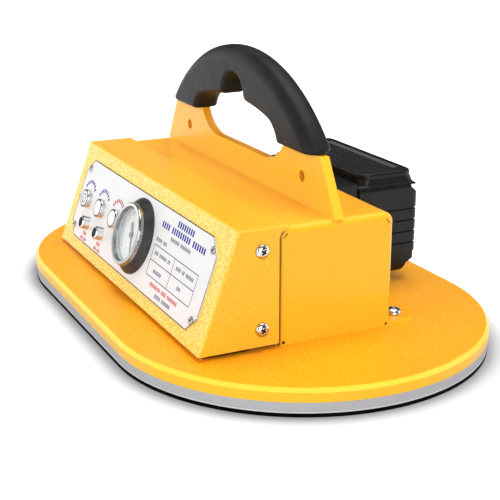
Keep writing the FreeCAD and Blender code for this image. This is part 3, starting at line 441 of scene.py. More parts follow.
foot_low, foot_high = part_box("foot_screws")
foot_seats = []
for x in (foot_low.x + FOOT_HEAD_RADIUS, foot_high.x - FOOT_HEAD_RADIUS):
    for y in (foot_low.y + FOOT_HEAD_RADIUS, foot_high.y - FOOT_HEAD_RADIUS):
        foot_seats.append((Vector((x, y, foot_high.z - FOOT_HEAD_HEIGHT)), Vector((0, 0, 1))))
screw_set("foot_screw_heads", FOOT_HEAD_RADIUS, FOOT_HEAD_HEIGHT, foot_seats,
          plated_steel, "foot_screws")

# Handle: a thick plate cut to an arch with a hand hole and two sling holes, welded
# on top of the box and powder coated with it. Its cut edges carry painted shade, its
# outer end edges a painted highlight, and its sling holes painted shade.

HANDLE_DEEP = (0.98, 0.530, 0.030, 1)
HANDLE_BRIGHT = (1.0, 0.595, 0.046, 1)
CUT_EDGE_SHADE = (1.0, 0.40, 0.014, 1)
END_EDGE_HIGHLIGHT = (1.0, 0.575, 0.032, 1)
EDGE_FACING_FRONT = (-0.7, -0.4)
EDGE_FACING_REAR = (0.7, 0.4)
END_EDGE_REACH = (0.095, 0.100)
HOLE_SHADE = (0.78, 0.34, 0.018, 1)
SLING_HOLE_X = 0.0865
SLING_HOLE_Y = 0.0009
SLING_HOLE_Z = 0.1070
SLING_HOLE_REACH = 0.0046


def near(finish, point, reach):
    """1 within a reach of a point, 0 beyond."""
    tree = finish.node_tree
    gap = tree.nodes.new("ShaderNodeVectorMath")
    gap.operation = "DISTANCE"
    gap.inputs[1].default_value = point
    tree.links.new(tree.nodes["Texture Coordinate"].outputs["Object"], gap.inputs[0])
    inside = tree.nodes.new("ShaderNodeMath")
    inside.operation = "LESS_THAN"
    inside.inputs[1].default_value = reach
    tree.links.new(gap.outputs["Value"], inside.inputs[0])
    return inside.outputs[0]


# The handle's yellow is the lightest of the yellow parts: painted light for its front faces.
handle_coat = powder_coat("handle_powder_coat", HANDLE_DEEP, HANDLE_BRIGHT, peel=0.25)
cut_edge = both(handle_coat, facing(handle_coat, "Y", *EDGE_FACING_FRONT),
                facing(handle_coat, "Y", *EDGE_FACING_REAR))
# Painted shade: the cut edges are given a deeper orange.
overlay(handle_coat, cut_edge, CUT_EDGE_SHADE)
for side in (-1, 1):
    # Painted highlight on the outer end edges, painted shade in the sling holes.
    outer_end = placed(handle_coat, "X", side * END_EDGE_REACH[0], side * END_EDGE_REACH[1])
    overlay(handle_coat, both(handle_coat, cut_edge, outer_end), END_EDGE_HIGHLIGHT)
    sling_hole = (side * SLING_HOLE_X, SLING_HOLE_Y, SLING_HOLE_Z)
    overlay(handle_coat, near(handle_coat, sling_hole, SLING_HOLE_REACH), HOLE_SHADE)
dress(handle_coat, "handle_plate")

# Grip: dark grey rubber moulded over the arch, with a finger scallop below.
# The mould leaves a fine satin grain.

GRIP_DARK = (0.009, 0.009, 0.010, 1)
GRIP_LIGHT = (0.016, 0.016, 0.017, 1)

grip_rubber = new_finish("grip_rubber", roughness=0.45, specular=0.13)
tint(grip_rubber, noise(grip_rubber, scale=70, detail=5), GRIP_DARK, GRIP_LIGHT)
dull(grip_rubber, noise(grip_rubber, scale=160, detail=3), low=0.4, high=0.52)
emboss(grip_rubber, noise(grip_rubber, scale=2200, detail=2), strength=0.12, depth=0.0002)
dress(grip_rubber, "handle_grip")

# Front cover: one folded sheet that makes the sloping panel, the top lap and the two
# cheeks, powder coated, with painted glints on the panel and painted shade on its top
# faces. Side screws with nuts behind hold the cheeks to ears on the end plates.

COVER_DEEP = (0.98, 0.510, 0.027, 1)
COVER_BRIGHT = (1.0, 0.565, 0.043, 1)
PANEL_GLINT = (1.0, 0.820, 0.185, 1)
GLINT_LOW = 0.45
GLINT_HIGH = 0.56
PANEL_FACING = (-0.4, -0.9)
COVER_TOP_SHADE = (1.0, 0.490, 0.024, 1)
TOP_FACING = (0.7, 0.9)
COVER_HEAD_RADIUS = 0.0044
COVER_HEAD_HEIGHT = 0.0030

# The cover's yellow is set lighter than the shell's: painted light for its panel and cheeks.
cover_coat = powder_coat("cover_powder_coat", COVER_DEEP, COVER_BRIGHT, peel=0.5)
speckle_noise = noise(cover_coat, scale=820, detail=2)
glint_spots = cover_coat.node_tree.nodes.new("ShaderNodeMapRange")
glint_spots.inputs["From Min"].default_value = GLINT_LOW
glint_spots.inputs["From Max"].default_value = GLINT_HIGH
cover_coat.node_tree.links.new(speckle_noise.outputs[0], glint_spots.inputs["Value"])
# Painted highlight: pale glints on the panel faces.
panel_glints = both(cover_coat, glint_spots.outputs["Result"], facing(cover_coat, "Y", *PANEL_FACING))
overlay(cover_coat, panel_glints, PANEL_GLINT)
# Painted shade: the cover's top faces are given a deeper orange.
overlay(cover_coat, facing(cover_coat, "Z", *TOP_FACING), COVER_TOP_SHADE)
emboss(cover_coat, speckle_noise, strength=0.35, depth=0.0004)
dress(cover_coat, "front_cover")

cover_low, cover_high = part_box("cover_screws")
cover_seats = []
for z in (cover_low.z + COVER_HEAD_RADIUS, cover_high.z - COVER_HEAD_RADIUS):
    for side in (-1, 1):
        x = cover_high.x - COVER_HEAD_HEIGHT if side > 0 else cover_low.x + COVER_HEAD_HEIGHT
        cover_seats.append((Vector((x, (cover_low.y + cover_high.y) / 2, z)), Vector((side, 0, 0))))
screw_set("cover_screw_heads", COVER_HEAD_RADIUS, COVER_HEAD_HEIGHT, cover_seats,
          plated_steel, "cover_screws")
dress(plated_steel, "cover_nuts")

# Label plate: a thin white plate with clipped corners, held on the panel by four
# small zinc-plated screws. It is printed with an edge line, a table of rules and
# strokes in groups. Places on it are across and up the panel.

LABEL_WHITE = (0.83, 0.83, 0.83, 1)
LABEL_SHADE = (0.80, 0.80, 0.805, 1)
RULE_INK = (0.13, 0.14, 0.24, 1)
BLUE_INK = (0.020, 0.020, 0.34, 1)
RED_INK = (0.66, 0.020, 0.035, 1)
EDGE_INK = (0.10, 0.09, 0.09, 1)
INK_KEPT = 0.85
INK_PALING = 0.02
INK_LIFT = 0.00003
PANEL_LEAN = math.radians(19.9)
LABEL_HALF = 0.1155
LABEL_FOOT = 0.0087
LABEL_HEAD = 0.0662
LABEL_CLIP = 0.010
LABEL_FACE = 0.0008
EDGE_WIDTH = 0.0007
RULE_WIDTH = 0.0006
RULE_COLUMNS = (0.0325, 0.066, 0.1015)
RULE_ROWS = (0.0212, 0.0310, 0.0410)
STROKE_PITCH = 0.8
STROKE_WIDTH = 0.62
HEADING_HEIGHT = 0.0040
CAPTION_HEIGHT = 0.0024
ZINC_DARK = (0.26, 0.26, 0.27, 1)
ZINC_LIGHT = (0.40, 0.40, 0.41, 1)
LABEL_HEAD_RADIUS = 0.0026
LABEL_HEAD_HEIGHT = 0.0014
LABEL_SCREW_X = 0.1095
LABEL_SCREW_RISES = (0.0157, 0.0592)

# Rows of strokes: where a row starts, its rise, and the strokes in each group.

HEADING_ROWS = ((0.0555, 0.0608, (8,)), (0.0340, 0.0553, (4, 9, 6)))
FOOT_ROWS = ((0.0420, 0.0173, (9, 4, 8)),)
LINE_ROWS = (
    (0.0520, 0.0498, (7, 8)),
    (0.0320, 0.0448, (5, 3)),
    (0.0360, 0.0364, (3, 6, 2)),
    (0.0705, 0.0364, (4, 2, 6)),
    (0.0410, 0.0255, (7,)),
    (0.0790, 0.0262, (3,)),
    (0.0535, 0.0128, (5, 7)),
)


def rule(mesh, start, end, width):
    """A flat printed line between two points of a plane."""
    start, end = Vector(start), Vector(end)
    side = (end - start).normalized().orthogonal() * width / 2
    corners = (start - side, end - side, end + side, start + side)
    mesh.faces.new([mesh.verts.new((p.x, p.y, 0)) for p in corners])


def arc_rule(mesh, center, radius, width, start, end, steps):
    """A flat printed arc; angles in degrees from the plane's X axis."""
    edges = []
    for i in range(steps + 1):
        angle = math.radians(start + (end - start) * i / steps)
        edges.append([mesh.verts.new((center[0] + r * math.cos(angle), center[1] + r * math.sin(angle), 0))
                      for r in (radius - width / 2, radius + width / 2)])
    for first, last in zip(edges, edges[1:]):
        mesh.faces.new((first[0], first[1], last[1], last[0]))


def printed(name, mesh, ink, place, body="chassis"):
    """Printed marks laid on a surface of a body."""
    bmesh.ops.transform(mesh, verts=mesh.verts, matrix=place)
    mesh_piece(name, mesh, ink, body)


def stroke_rows(name, rows, height, ink):
    """Rows of plain strokes in groups, printed on the label."""
    marks = bmesh.new()
    pitch = STROKE_PITCH * height
    for start, rise, groups in rows:
        x = start + pitch / 2
        for strokes in groups:
            for _ in range(strokes):
                rule(marks, (x, rise - height / 2), (x, rise + height / 2), STROKE_WIDTH * pitch)
                x += pitch
            x += pitch
    printed(name, marks, ink, label_print)


def ink_finish(name, colour):
    """Flat printing ink, faded here and there."""
    ink = new_finish(name, roughness=0.6, specular=0.08)
    faded = tuple(INK_KEPT * c + INK_PALING for c in colour[:3]) + (1,)
    tint(ink, noise(ink, scale=1800, detail=2), colour, faded)
    return ink


label_white = new_finish("label_white", roughness=0.4)
tint(label_white, noise(label_white, scale=80, detail=4), LABEL_SHADE, LABEL_WHITE)
emboss(label_white, noise(label_white, scale=1500, detail=2), strength=0.04, depth=0.0001)
dress(label_white, "label_plate")

panel_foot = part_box("front_cover")[0]
panel_turn = Matrix.Rotation(math.pi / 2 - PANEL_LEAN, 4, "X")
panel = Matrix.Translation((0, panel_foot.y, panel_foot.z)) @ panel_turn
label_print = panel @ Matrix.Translation((0, 0, LABEL_FACE + INK_LIFT))
rule_ink = ink_finish("rule_ink", RULE_INK)
blue_ink = ink_finish("blue_ink", BLUE_INK)
red_ink = ink_finish("red_ink", RED_INK)
edge_ink = ink_finish("edge_ink", EDGE_INK)

outline = [(LABEL_HALF - LABEL_CLIP, LABEL_FOOT), (LABEL_HALF, LABEL_FOOT + LABEL_CLIP),
           (LABEL_HALF, LABEL_HEAD - LABEL_CLIP), (LABEL_HALF - LABEL_CLIP, LABEL_HEAD)]
outline += [(-x, y) for x, y in reversed(outline)]
label_edge = bmesh.new()
for start, end in zip(outline, outline[1:] + outline[:1]):
    rule(label_edge, start, end, EDGE_WIDTH)
printed("label_edge_line", label_edge, edge_ink, label_print)

label_table = bmesh.new()
for row in RULE_ROWS:
    rule(label_table, (RULE_COLUMNS[0], row), (RULE_COLUMNS[-1], row), RULE_WIDTH)
for column in RULE_COLUMNS:
    rule(label_table, (column, RULE_ROWS[0]), (column, RULE_ROWS[-1]), RULE_WIDTH)
printed("label_table_rules", label_table, rule_ink, label_print)

stroke_rows("label_heading_strokes", HEADING_ROWS, HEADING_HEIGHT, blue_ink)
stroke_rows("label_line_strokes", LINE_ROWS, CAPTION_HEIGHT, rule_ink)
stroke_rows("label_foot_strokes", FOOT_ROWS, CAPTION_HEIGHT, red_ink)

zinc_steel = plating("zinc_steel", ZINC_DARK, ZINC_LIGHT)
panel_out = (panel.to_3x3() @ Vector((0, 0, 1))).normalized()
label_seats = [(panel @ Vector((x, rise, LABEL_FACE)), panel_out)
               for x in (-LABEL_SCREW_X, LABEL_SCREW_X) for rise in LABEL_SCREW_RISES]
screw_set("label_screw_heads", LABEL_HEAD_RADIUS, LABEL_HEAD_HEIGHT, label_seats,
          zinc_steel, "label_screws")

# Push buttons: turned steel collars with flat steel caps, held by nuts and contact
# blocks behind the panel. A dark seal shows round each cap, an arc of printed strokes
# stands over each button, and a ring with a dot marks the first cap.

STEEL_DARK = (0.60, 0.60, 0.61, 1)
STEEL_LIGHT = (0.80, 0.80, 0.81, 1)
CAP_DARK = (0.46, 0.46, 0.47, 1)
CAP_LIGHT = (0.60, 0.60, 0.61, 1)
ORANGE_REFLECTION = (0.72, 0.42, 0.19, 1)
COLLAR_FACING_DOWN = (-0.30, -0.60)
BUTTON_NAMES = ("power", "vacuum", "release")
BUTTON_XS = (-0.0970, -0.0677, -0.0384)
BUTTON_RISE = 0.0384
SEAL_FACE = 0.0044
SEAL_RADIUS = 0.0061
SEAL_WIDTH = 0.0009
SEAL_STEPS = 48
ARC_PLACE = (-0.0018, 0.0014)
ARC_RADIUS = 0.0112
ARC_HEIGHT = 0.0026
ARC_FIRST = 35
ARC_LAST = 145
ARC_PITCH = 15
ARC_STROKE = 9
ARC_STEPS = 3
CAP_FACE = 0.0046
RING_RADIUS = 0.0032
RING_WIDTH = 0.0009
RING_STEPS = 40
DOT_RADIUS = 0.0008
DOT_STEPS = 16


def turned_metal(name, dark, light):
    """Steel with the fine satin of a lathe."""
    metal = new_finish(name, roughness=0.25, metallic=1.0)
    tint(metal, noise(metal, scale=700, detail=3), dark, light)
    dull(metal, noise(metal, scale=1400, detail=2), low=0.2, high=0.34)
    return metal


turned_steel = turned_metal("turned_steel", STEEL_DARK, STEEL_LIGHT)
dress(turned_steel, "switch_nuts", "lamp_nuts")
cap_steel = turned_metal("cap_steel", CAP_DARK, CAP_LIGHT)
dress(cap_steel, "power_button", "vacuum_button", "release_button")
collar_steel = new_finish("collar_steel", roughness=0.16, metallic=1.0)
tint(collar_steel, noise(collar_steel, scale=400, detail=2), STEEL_DARK, STEEL_LIGHT)
# Painted reflection: the collars' downward faces are tinted orange.
overlay(collar_steel, facing(collar_steel, "Z", *COLLAR_FACING_DOWN), ORANGE_REFLECTION)
dull(collar_steel, noise(collar_steel, scale=600, detail=2), low=0.12, high=0.2)
dress(collar_steel, "power_switch_body", "vacuum_switch_body", "release_switch_body")

seal_print = panel @ Matrix.Translation((0, 0, SEAL_FACE + INK_LIFT))
cap_print = panel @ Matrix.Translation((0, 0, CAP_FACE + INK_LIFT))
for button, x, ink in zip(BUTTON_NAMES, BUTTON_XS, (blue_ink, blue_ink, red_ink)):
    seal = bmesh.new()
    arc_rule(seal, (x, BUTTON_RISE), SEAL_RADIUS, SEAL_WIDTH, 0, 360, SEAL_STEPS)
    printed(button + "_seal_ring", seal, edge_ink, seal_print)
    arc = bmesh.new()
    arc_center = (x + ARC_PLACE[0], BUTTON_RISE + ARC_PLACE[1])
    for start in range(ARC_FIRST, ARC_LAST, ARC_PITCH):
        arc_rule(arc, arc_center, ARC_RADIUS, ARC_HEIGHT, start, start + ARC_STROKE, ARC_STEPS)
    printed(button + "_arc", arc, ink, label_print)

power_mark = bmesh.new()
power_center = (BUTTON_XS[0], BUTTON_RISE)
arc_rule(power_mark, power_center, RING_RADIUS, RING_WIDTH, 0, 360, RING_STEPS)
arc_rule(power_mark, power_center, DOT_RADIUS / 2, DOT_RADIUS, 0, 360, DOT_STEPS)
printed("power_ring_mark", power_mark, edge_ink, cap_print, "power_key")

# Panel lamps: chromed sleeves with a dark lens set in each, screwed through the
# panel. Two short rows of red strokes are printed under each.

LENS_DARK = (0.004, 0.004, 0.005, 1)
LENS_LIGHT = (0.010, 0.010, 0.012, 1)
LAMP_DARK = (0.74, 0.75, 0.77, 1)
LAMP_LIGHT = (0.84, 0.85, 0.87, 1)
LAMP_TOP_SHADE = (0.20, 0.21, 0.23, 1)
LAMP_FACING_DOWN = (-0.10, -0.35)
LAMP_FACING_UP = (0.70, 0.90)
LAMP_XS = (-0.0855, -0.0559)
LAMP_MARK_HEIGHT = 0.0022
LAMP_MARK_ROWS = ((-0.0040, 0.0150, (4,)), (-0.0066, 0.0110, (3, 3)))

lamp_lens = new_finish("lamp_lens", roughness=0.45, specular=0.05)
tint(lamp_lens, noise(lamp_lens, scale=300, detail=2), LENS_DARK, LENS_LIGHT)
dress(lamp_lens, "lamp_lenses")
lamp_chrome = new_finish("lamp_chrome", roughness=0.12, metallic=1.0)
tint(lamp_chrome, noise(lamp_chrome, scale=300, detail=2), LAMP_DARK, LAMP_LIGHT)
# Painted reflection: the sleeves' downward faces are tinted orange.
overlay(lamp_chrome, facing(lamp_chrome, "Z", *LAMP_FACING_DOWN), ORANGE_REFLECTION)
# Painted shade: the sleeves' upward faces are darkened.
overlay(lamp_chrome, facing(lamp_chrome, "Z", *LAMP_FACING_UP), LAMP_TOP_SHADE)
dull(lamp_chrome, noise(lamp_chrome, scale=500, detail=2), low=0.08, high=0.16)
dress(lamp_chrome, "lamp_bezels")

for count, x in enumerate(LAMP_XS):
    lamp_rows = [(x + start, rise, groups) for start, rise, groups in LAMP_MARK_ROWS]
    stroke_rows("lamp_mark_%d" % (count + 1), lamp_rows, LAMP_MARK_HEIGHT, red_ink)

# Vacuum gauge: black flange and clamp ring, steel case that passes through the panel,
# bright bezel over a glass, white dial with a printed scale, grey needle, and a brass
# movement and stem behind.

GAUGE_DARK = (0.014, 0.014, 0.015, 1)
GAUGE_LIGHT = (0.030, 0.030, 0.032, 1)
CASE_DARK = (0.44, 0.45, 0.46, 1)
CASE_LIGHT = (0.54, 0.55, 0.56, 1)
BEZEL_DARK = (0.30, 0.30, 0.31, 1)
BEZEL_LIGHT = (0.38, 0.38, 0.39, 1)
DIAL_WHITE = (0.95, 0.95, 0.95, 1)
DIAL_SHADE = (0.92, 0.93, 0.93, 1)
TEAL_INK = (0.20, 0.50, 0.48, 1)
NEEDLE_DARK = (0.20, 0.20, 0.20, 1)
NEEDLE_LIGHT = (0.28, 0.28, 0.29, 1)
GLASS_TINT = (0.9, 0.95, 0.94, 1)
GLASS_ALPHA = 0.06
BRASS_DARK = (0.45, 0.30, 0.08, 1)
BRASS_LIGHT = (0.70, 0.50, 0.18, 1)
GAUGE_CENTER = (0.0019, 0.0376)
DIAL_FACE = 0.0040
TICK_RADIUS = 0.0150
TICK_LONG = 0.0020
TICK_SHORT = 0.0012
TICK_WIDTH = 0.00022
TICK_FIRST = 225
TICK_SWEEP = 270
TICK_COUNT = 50
TICKS_TO_LONG = 5
BAND_RADIUS = 0.0158
BAND_WIDTH = 0.0007
BAND_END = 95
BAND_STEPS = 40

gauge_black = new_finish("gauge_black", roughness=0.42, specular=0.35)
tint(gauge_black, noise(gauge_black, scale=200, detail=4), GAUGE_DARK, GAUGE_LIGHT)
emboss(gauge_black, noise(gauge_black, scale=1800, detail=2), strength=0.15, depth=0.0002)
dress(gauge_black, "gauge_flange", "gauge_clamp_ring")
gauge_steel = new_finish("gauge_steel", roughness=0.4, metallic=0.6)
tint(gauge_steel, noise(gauge_steel, scale=300, detail=3), CASE_DARK, CASE_LIGHT)
dress(gauge_steel, "gauge_case")
gauge_chrome = new_finish("gauge_chrome", roughness=0.08, metallic=1.0)
tint(gauge_chrome, noise(gauge_chrome, scale=120, detail=2), BEZEL_DARK, BEZEL_LIGHT)
dull(gauge_chrome, noise(gauge_chrome, scale=200, detail=2), low=0.06, high=0.11)
dress(gauge_chrome, "gauge_bezel")
dial_white = new_finish("dial_white", roughness=0.5)
tint(dial_white, noise(dial_white, scale=150, detail=3), DIAL_SHADE, DIAL_WHITE)
dress(dial_white, "gauge_dial")

dial_print = panel @ Matrix.Translation((GAUGE_CENTER[0], GAUGE_CENTER[1], DIAL_FACE + INK_LIFT))
dial_scale = bmesh.new()
for i in range(TICK_COUNT + 1):
    angle = math.radians(TICK_FIRST - TICK_SWEEP * i / TICK_COUNT)
    spoke = Vector((math.cos(angle), math.sin(angle)))
    length = TICK_LONG if i % TICKS_TO_LONG == 0 else TICK_SHORT
    rule(dial_scale, spoke * (TICK_RADIUS - length), spoke * TICK_RADIUS, TICK_WIDTH)
printed("dial_scale", dial_scale, edge_ink, dial_print)
dial_band = bmesh.new()
arc_rule(dial_band, (0, 0), BAND_RADIUS, BAND_WIDTH, BAND_END, TICK_FIRST, BAND_STEPS)
printed("dial_band", dial_band, ink_finish("teal_ink", TEAL_INK), dial_print)

needle_grey = new_finish("needle_grey", roughness=0.4)
tint(needle_grey, noise(needle_grey, scale=900, detail=2), NEEDLE_DARK, NEEDLE_LIGHT)
dress(needle_grey, "gauge_needle")
gauge_glass = new_finish("gauge_glass", roughness=0.03)
shader_of(gauge_glass).inputs["Base Color"].default_value = GLASS_TINT
shader_of(gauge_glass).inputs["Alpha"].default_value = GLASS_ALPHA
dull(gauge_glass, noise(gauge_glass, scale=60, detail=1), low=0.02, high=0.06)
dress(gauge_glass, "gauge_window")
brass = new_finish("brass", roughness=0.3, metallic=1.0)
tint(brass, noise(brass, scale=400, detail=3), BRASS_DARK, BRASS_LIGHT)
dress(brass, "gauge_movement", "gauge_stem")

# Battery pack: black moulded case with a raised top, rails and latch; it slides onto
# the moulded dock that is screwed behind the box, and meets its brass terminals.
# A glossy sheet and a grey strip fill the recesses of its top.

BATTERY_DARK = (0.003, 0.003, 0.003, 1)
BATTERY_LIGHT = (0.008, 0.008, 0.008, 1)
STRIP_DARK = (0.045, 0.045, 0.047, 1)
STRIP_LIGHT = (0.07, 0.07, 0.072, 1)
CROWN_INSET = 0.0026
RECESS_INSET = 0.0062
RECESS_DEPTH = 0.0005
SHEET_FRONT = 0.0032
SHEET_CORNER = 0.0046
SHEET_EDGE = 0.0002
SHEET_THICKNESS = 0.0003
STRIP_HALF = 0.0448
STRIP_REAR = 0.0052
STRIP_WIDTH = 0.0046
STRIP_CORNER = 0.0012
STRIP_RISE = 0.0002
STRIP_GAP = 0.0006
CORNER_STEPS = 6


def inlay(half, front, rear, corner, low, high):
    """A thin sheet with rounded corners and a softened rim, between two levels."""
    sheet = bmesh.new()
    rims = []
    for inset, level in ((0, low), (0, high - SHEET_EDGE), (SHEET_EDGE, high)):
        rim = []
        reach = corner - inset
        for side, end, first in ((1, 1, 0), (-1, 1, 90), (-1, -1, 180), (1, -1, 270)):
            center_y = rear - corner if end > 0 else front + corner
            center = Vector((side * (half - corner), center_y, level))
            for i in range(CORNER_STEPS + 1):
                angle = math.radians(first + 90 * i / CORNER_STEPS)
                spoke = Vector((reach * math.cos(angle), reach * math.sin(angle), 0))
                rim.append(sheet.verts.new(center + spoke))
        rims.append(rim)
    for low_rim, high_rim in zip(rims, rims[1:]):
        for i in range(len(low_rim)):
            j = (i + 1) % len(low_rim)
            sheet.faces.new((low_rim[i], low_rim[j], high_rim[j], high_rim[i]))
    sheet.faces.new(rims[-1])
    sheet.faces.new(list(reversed(rims[0])))
    return sheet


battery_black = new_finish("battery_black", roughness=0.35, specular=0.22)
tint(battery_black, noise(battery_black, scale=120, detail=4), BATTERY_DARK, BATTERY_LIGHT)
dull(battery_black, noise(battery_black, scale=300, detail=3), low=0.28, high=0.40)
emboss(battery_black, noise(battery_black, scale=2600, detail=2), strength=0.06, depth=0.0002)
dress(battery_black, "battery_case", "battery_lid", "battery_latch", "battery_dock")
dress(plated_steel, "dock_screws")
dress(brass, "dock_terminals", "battery_contacts")
battery_gloss = new_finish("battery_gloss", roughness=0.26, specular=0.25)
tint(battery_gloss, noise(battery_gloss, scale=60, detail=3), BATTERY_DARK, BATTERY_LIGHT)
dull(battery_gloss, noise(battery_gloss, scale=200, detail=3), low=0.2, high=0.32)
battery_strip = new_finish("battery_strip", roughness=0.55)
tint(battery_strip, noise(battery_strip, scale=400, detail=4), STRIP_DARK, STRIP_LIGHT)
emboss(battery_strip, noise(battery_strip, scale=2200, detail=2), strength=0.2, depth=0.0002)

case_low, case_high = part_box("battery_case")
recess_floor = case_high.z - RECESS_DEPTH
strip_rear = case_high.y - CROWN_INSET - STRIP_REAR
strip_front = strip_rear - STRIP_WIDTH
gloss_sheet = inlay(case_high.x - RECESS_INSET, case_low.y + SHEET_FRONT, strip_front - STRIP_GAP,
                    SHEET_CORNER, recess_floor, recess_floor + SHEET_THICKNESS)
mesh_piece("battery_gloss_sheet", gloss_sheet, battery_gloss, "battery")
grey_strip = inlay(STRIP_HALF, strip_front, strip_rear, STRIP_CORNER,
                   recess_floor - RECESS_DEPTH, recess_floor + STRIP_RISE)
mesh_piece("battery_grey_strip", grey_strip, battery_strip, "battery")

# Works inside the box: diaphragm pump on rubber feet, valve manifold, sensor, hoses,
# and the control board on brass standoffs. The castings are alloy; the motor, crank,
# bracket and plunger are steel.

ALLOY_DARK = (0.38, 0.38, 0.39, 1)
ALLOY_LIGHT = (0.58, 0.58, 0.59, 1)
BOARD_DARK = (0.008, 0.06, 0.02, 1)
BOARD_LIGHT = (0.015, 0.11, 0.04, 1)

cast_alloy = new_finish("cast_alloy", roughness=0.5, metallic=1.0)
tint(cast_alloy, noise(cast_alloy, scale=300, detail=4), ALLOY_DARK, ALLOY_LIGHT)
emboss(cast_alloy, noise(cast_alloy, scale=1100, detail=3), strength=0.25, depth=0.0003)
dress(cast_alloy, "pump_crankcase", "pump_head", "pump_rod", "manifold")
dress(turned_steel, "pump_motor", "pump_crank", "pump_bracket", "valve_plunger")
dress(seal_rubber, "pump_feet", "pump_diaphragm", "vacuum_hoses")
dress(battery_black, "exhaust_silencer", "check_valve", "release_valve", "vacuum_sensor", "switch_blocks")
dress(brass, "board_standoffs")
board_green = new_finish("board_green", roughness=0.35)
tint(board_green, noise(board_green, scale=200, detail=4), BOARD_DARK, BOARD_LIGHT)
dress(board_green, "control_board")

# Studio: a paper floor with a low paper ring round it as the horizon, in a dim room
# with a paler ceiling, and five large soft lamps round and above the object. The paper
# is seen as plain white except in a band round the plate's rim, where its glow fades
# out: the grey there is partly cast shadow and partly painted shadow.

FLOOR_WHITE = (0.50, 0.50, 0.51, 1)
PAPER_GLOW = (1, 1, 1, 1)
SHADOW_LIFT = 0.02
SHADOW_NEAR = 0.003
SHADOW_FAR = 0.026
FLOOR_SIZE = 30.0
BACKDROP_RADIUS = 13.0
BACKDROP_HEIGHT = 1.0
BACKDROP_STEPS = 96
ROOM_WALLS = (0.06, 0.06, 0.06, 1)
ROOM_CEILING = (0.25, 0.25, 0.25, 1)
WALL_TOP = 0.30
CEILING_EDGE = 0.60
LAMP_AIM = Vector((0, 0, 0.05))

floor_paper = new_finish("floor_paper", roughness=0.9, specular=0.0)
shader_of(floor_paper).inputs["Base Color"].default_value = FLOOR_WHITE
shader_of(floor_paper).inputs["Emission Color"].default_value = PAPER_GLOW
floor_tree = floor_paper.node_tree


def floor_math(operation, first, second):
    """One sum in the floor's shader; the second value is a socket or a fixed number."""
    node = floor_tree.nodes.new("ShaderNodeMath")
    node.operation = operation
    floor_tree.links.new(first, node.inputs[0])
    if isinstance(second, bpy.types.NodeSocket):
        floor_tree.links.new(second, node.inputs[1])
    else:
        node.inputs[1].default_value = second
    return node.outputs[0]


def stage_piece(name, mesh):
    """A piece of the studio, made of the floor's paper."""
    shape = bpy.data.meshes.new(name)
    mesh.to_mesh(shape)
    mesh.free()
    shape.materials.append(floor_paper)
    piece = bpy.data.objects.new(name, shape)
    bpy.context.scene.collection.objects.link(piece)


def softbox(name, place, size, power):
    """A square area lamp that faces the object."""
    lamp = bpy.data.lights.new(name, "AREA")
    lamp.size = size
    lamp.energy = power
    stand = bpy.data.objects.new(name, lamp)
    stand.location = place
    stand.rotation_mode = "QUATERNION"
    stand.rotation_quaternion = (LAMP_AIM - Vector(place)).to_track_quat("-Z", "Y")
    bpy.context.scene.collection.objects.link(stand)


rays = floor_tree.nodes.new("ShaderNodeLightPath")
seen = floor_math("MAXIMUM", rays.outputs["Is Camera Ray"], rays.outputs["Is Glossy Ray"])
seen = floor_math("MAXIMUM", seen, rays.outputs["Is Transmission Ray"])

plate_low, plate_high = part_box("base_plate")
plate_round = (plate_high.y - plate_low.y) / 2
plate_straight = (plate_high.x - plate_low.x) / 2 - plate_round
floor_place = floor_tree.nodes.new("ShaderNodeTexCoord")
floor_split = floor_tree.nodes.new("ShaderNodeSeparateXYZ")
floor_tree.links.new(floor_place.outputs["Object"], floor_split.inputs[0])
past_straight = floor_math("SUBTRACT", floor_math("ABSOLUTE", floor_split.outputs["X"], 0), plate_straight)
from_end = floor_tree.nodes.new("ShaderNodeCombineXYZ")
floor_tree.links.new(floor_math("MAXIMUM", past_straight, 0), from_end.inputs["X"])
floor_tree.links.new(floor_split.outputs["Y"], from_end.inputs["Y"])
away = floor_tree.nodes.new("ShaderNodeVectorMath")
away.operation = "LENGTH"
floor_tree.links.new(from_end.outputs["Vector"], away.inputs[0])
# Painted shadow: the paper's glow fades out towards the plate's rim, so a grey band follows the rim on top
# of the cast shadow.
fade = floor_tree.nodes.new("ShaderNodeMapRange")
fade.inputs["From Min"].default_value = plate_round + SHADOW_NEAR
fade.inputs["From Max"].default_value = plate_round + SHADOW_FAR
fade.inputs["To Min"].default_value = SHADOW_LIFT
fade.inputs["To Max"].default_value = 1.0
floor_tree.links.new(away.outputs["Value"], fade.inputs["Value"])
lift = floor_math("MULTIPLY", seen, fade.outputs["Result"])
floor_tree.links.new(lift, shader_of(floor_paper).inputs["Emission Strength"])

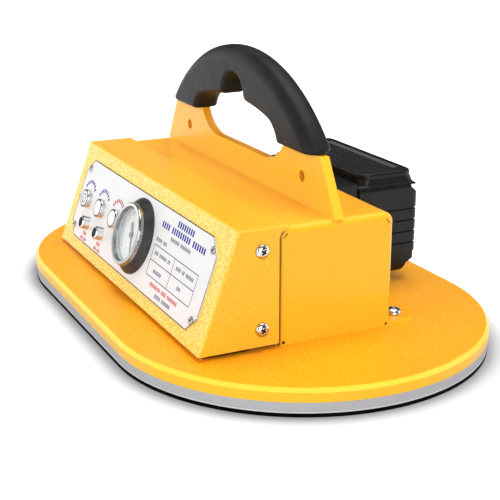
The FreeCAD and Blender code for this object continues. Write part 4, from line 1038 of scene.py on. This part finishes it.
floor_mesh = bmesh.new()
bmesh.ops.create_grid(floor_mesh, x_segments=1, y_segments=1, size=FLOOR_SIZE / 2)
stage_piece("floor", floor_mesh)
backdrop_mesh = bmesh.new()
lathe(backdrop_mesh, [(BACKDROP_RADIUS, 0), (BACKDROP_RADIUS, BACKDROP_HEIGHT)], BACKDROP_STEPS)
stage_piece("backdrop", backdrop_mesh)

room = bpy.data.worlds.new("pale_room")
bpy.context.scene.world = room
room.use_nodes = True
room_tree = room.node_tree
room_place = room_tree.nodes.new("ShaderNodeTexCoord")
room_split = room_tree.nodes.new("ShaderNodeSeparateXYZ")
walls = room_tree.nodes.new("ShaderNodeValToRGB")
walls.color_ramp.elements[0].position = WALL_TOP
walls.color_ramp.elements[0].color = ROOM_WALLS
walls.color_ramp.elements[1].position = CEILING_EDGE
walls.color_ramp.elements[1].color = ROOM_CEILING
room_tree.links.new(room_place.outputs["Generated"], room_split.inputs[0])
room_tree.links.new(room_split.outputs["Z"], walls.inputs["Fac"])
room_tree.links.new(walls.outputs["Color"], room_tree.nodes["Background"].inputs["Color"])

softbox("top_softbox", place=(-0.25, 0.5, 3.0), size=2.2, power=78)
softbox("left_softbox", place=(-4.9, -3.0, 1.9), size=4.0, power=80)
softbox("front_softbox", place=(0.8, -5.6, 2.2), size=4.0, power=146)
softbox("right_softbox", place=(5.4, -1.2, 1.7), size=3.4, power=178)
softbox("rear_softbox", place=(1.5, 5.5, 2.0), size=4.0, power=90)

# Camera: looks at the object from the right, a little to the front and above,
# through a long lens, and shows plain standard tones.

CAMERA_PLACE = Vector((0.6840, -0.3294, 0.2801))
CAMERA_LOOK = Vector((-0.8546, 0.4179, -0.3084))
CAMERA_LENS = 82.67
CAMERA_SENSOR = 36.0
CAMERA_NEAR = 0.01
CAMERA_FAR = 50.0

camera_data = bpy.data.cameras.new("camera")
camera_data.lens = CAMERA_LENS
camera_data.sensor_width = CAMERA_SENSOR
camera_data.clip_start = CAMERA_NEAR
camera_data.clip_end = CAMERA_FAR
camera = bpy.data.objects.new("camera", camera_data)
camera.location = CAMERA_PLACE
camera.rotation_mode = "QUATERNION"
camera.rotation_quaternion = CAMERA_LOOK.to_track_quat("-Z", "Y")
bpy.context.scene.collection.objects.link(camera)
bpy.context.scene.camera = camera
bpy.context.scene.view_settings.view_transform = "Standard"
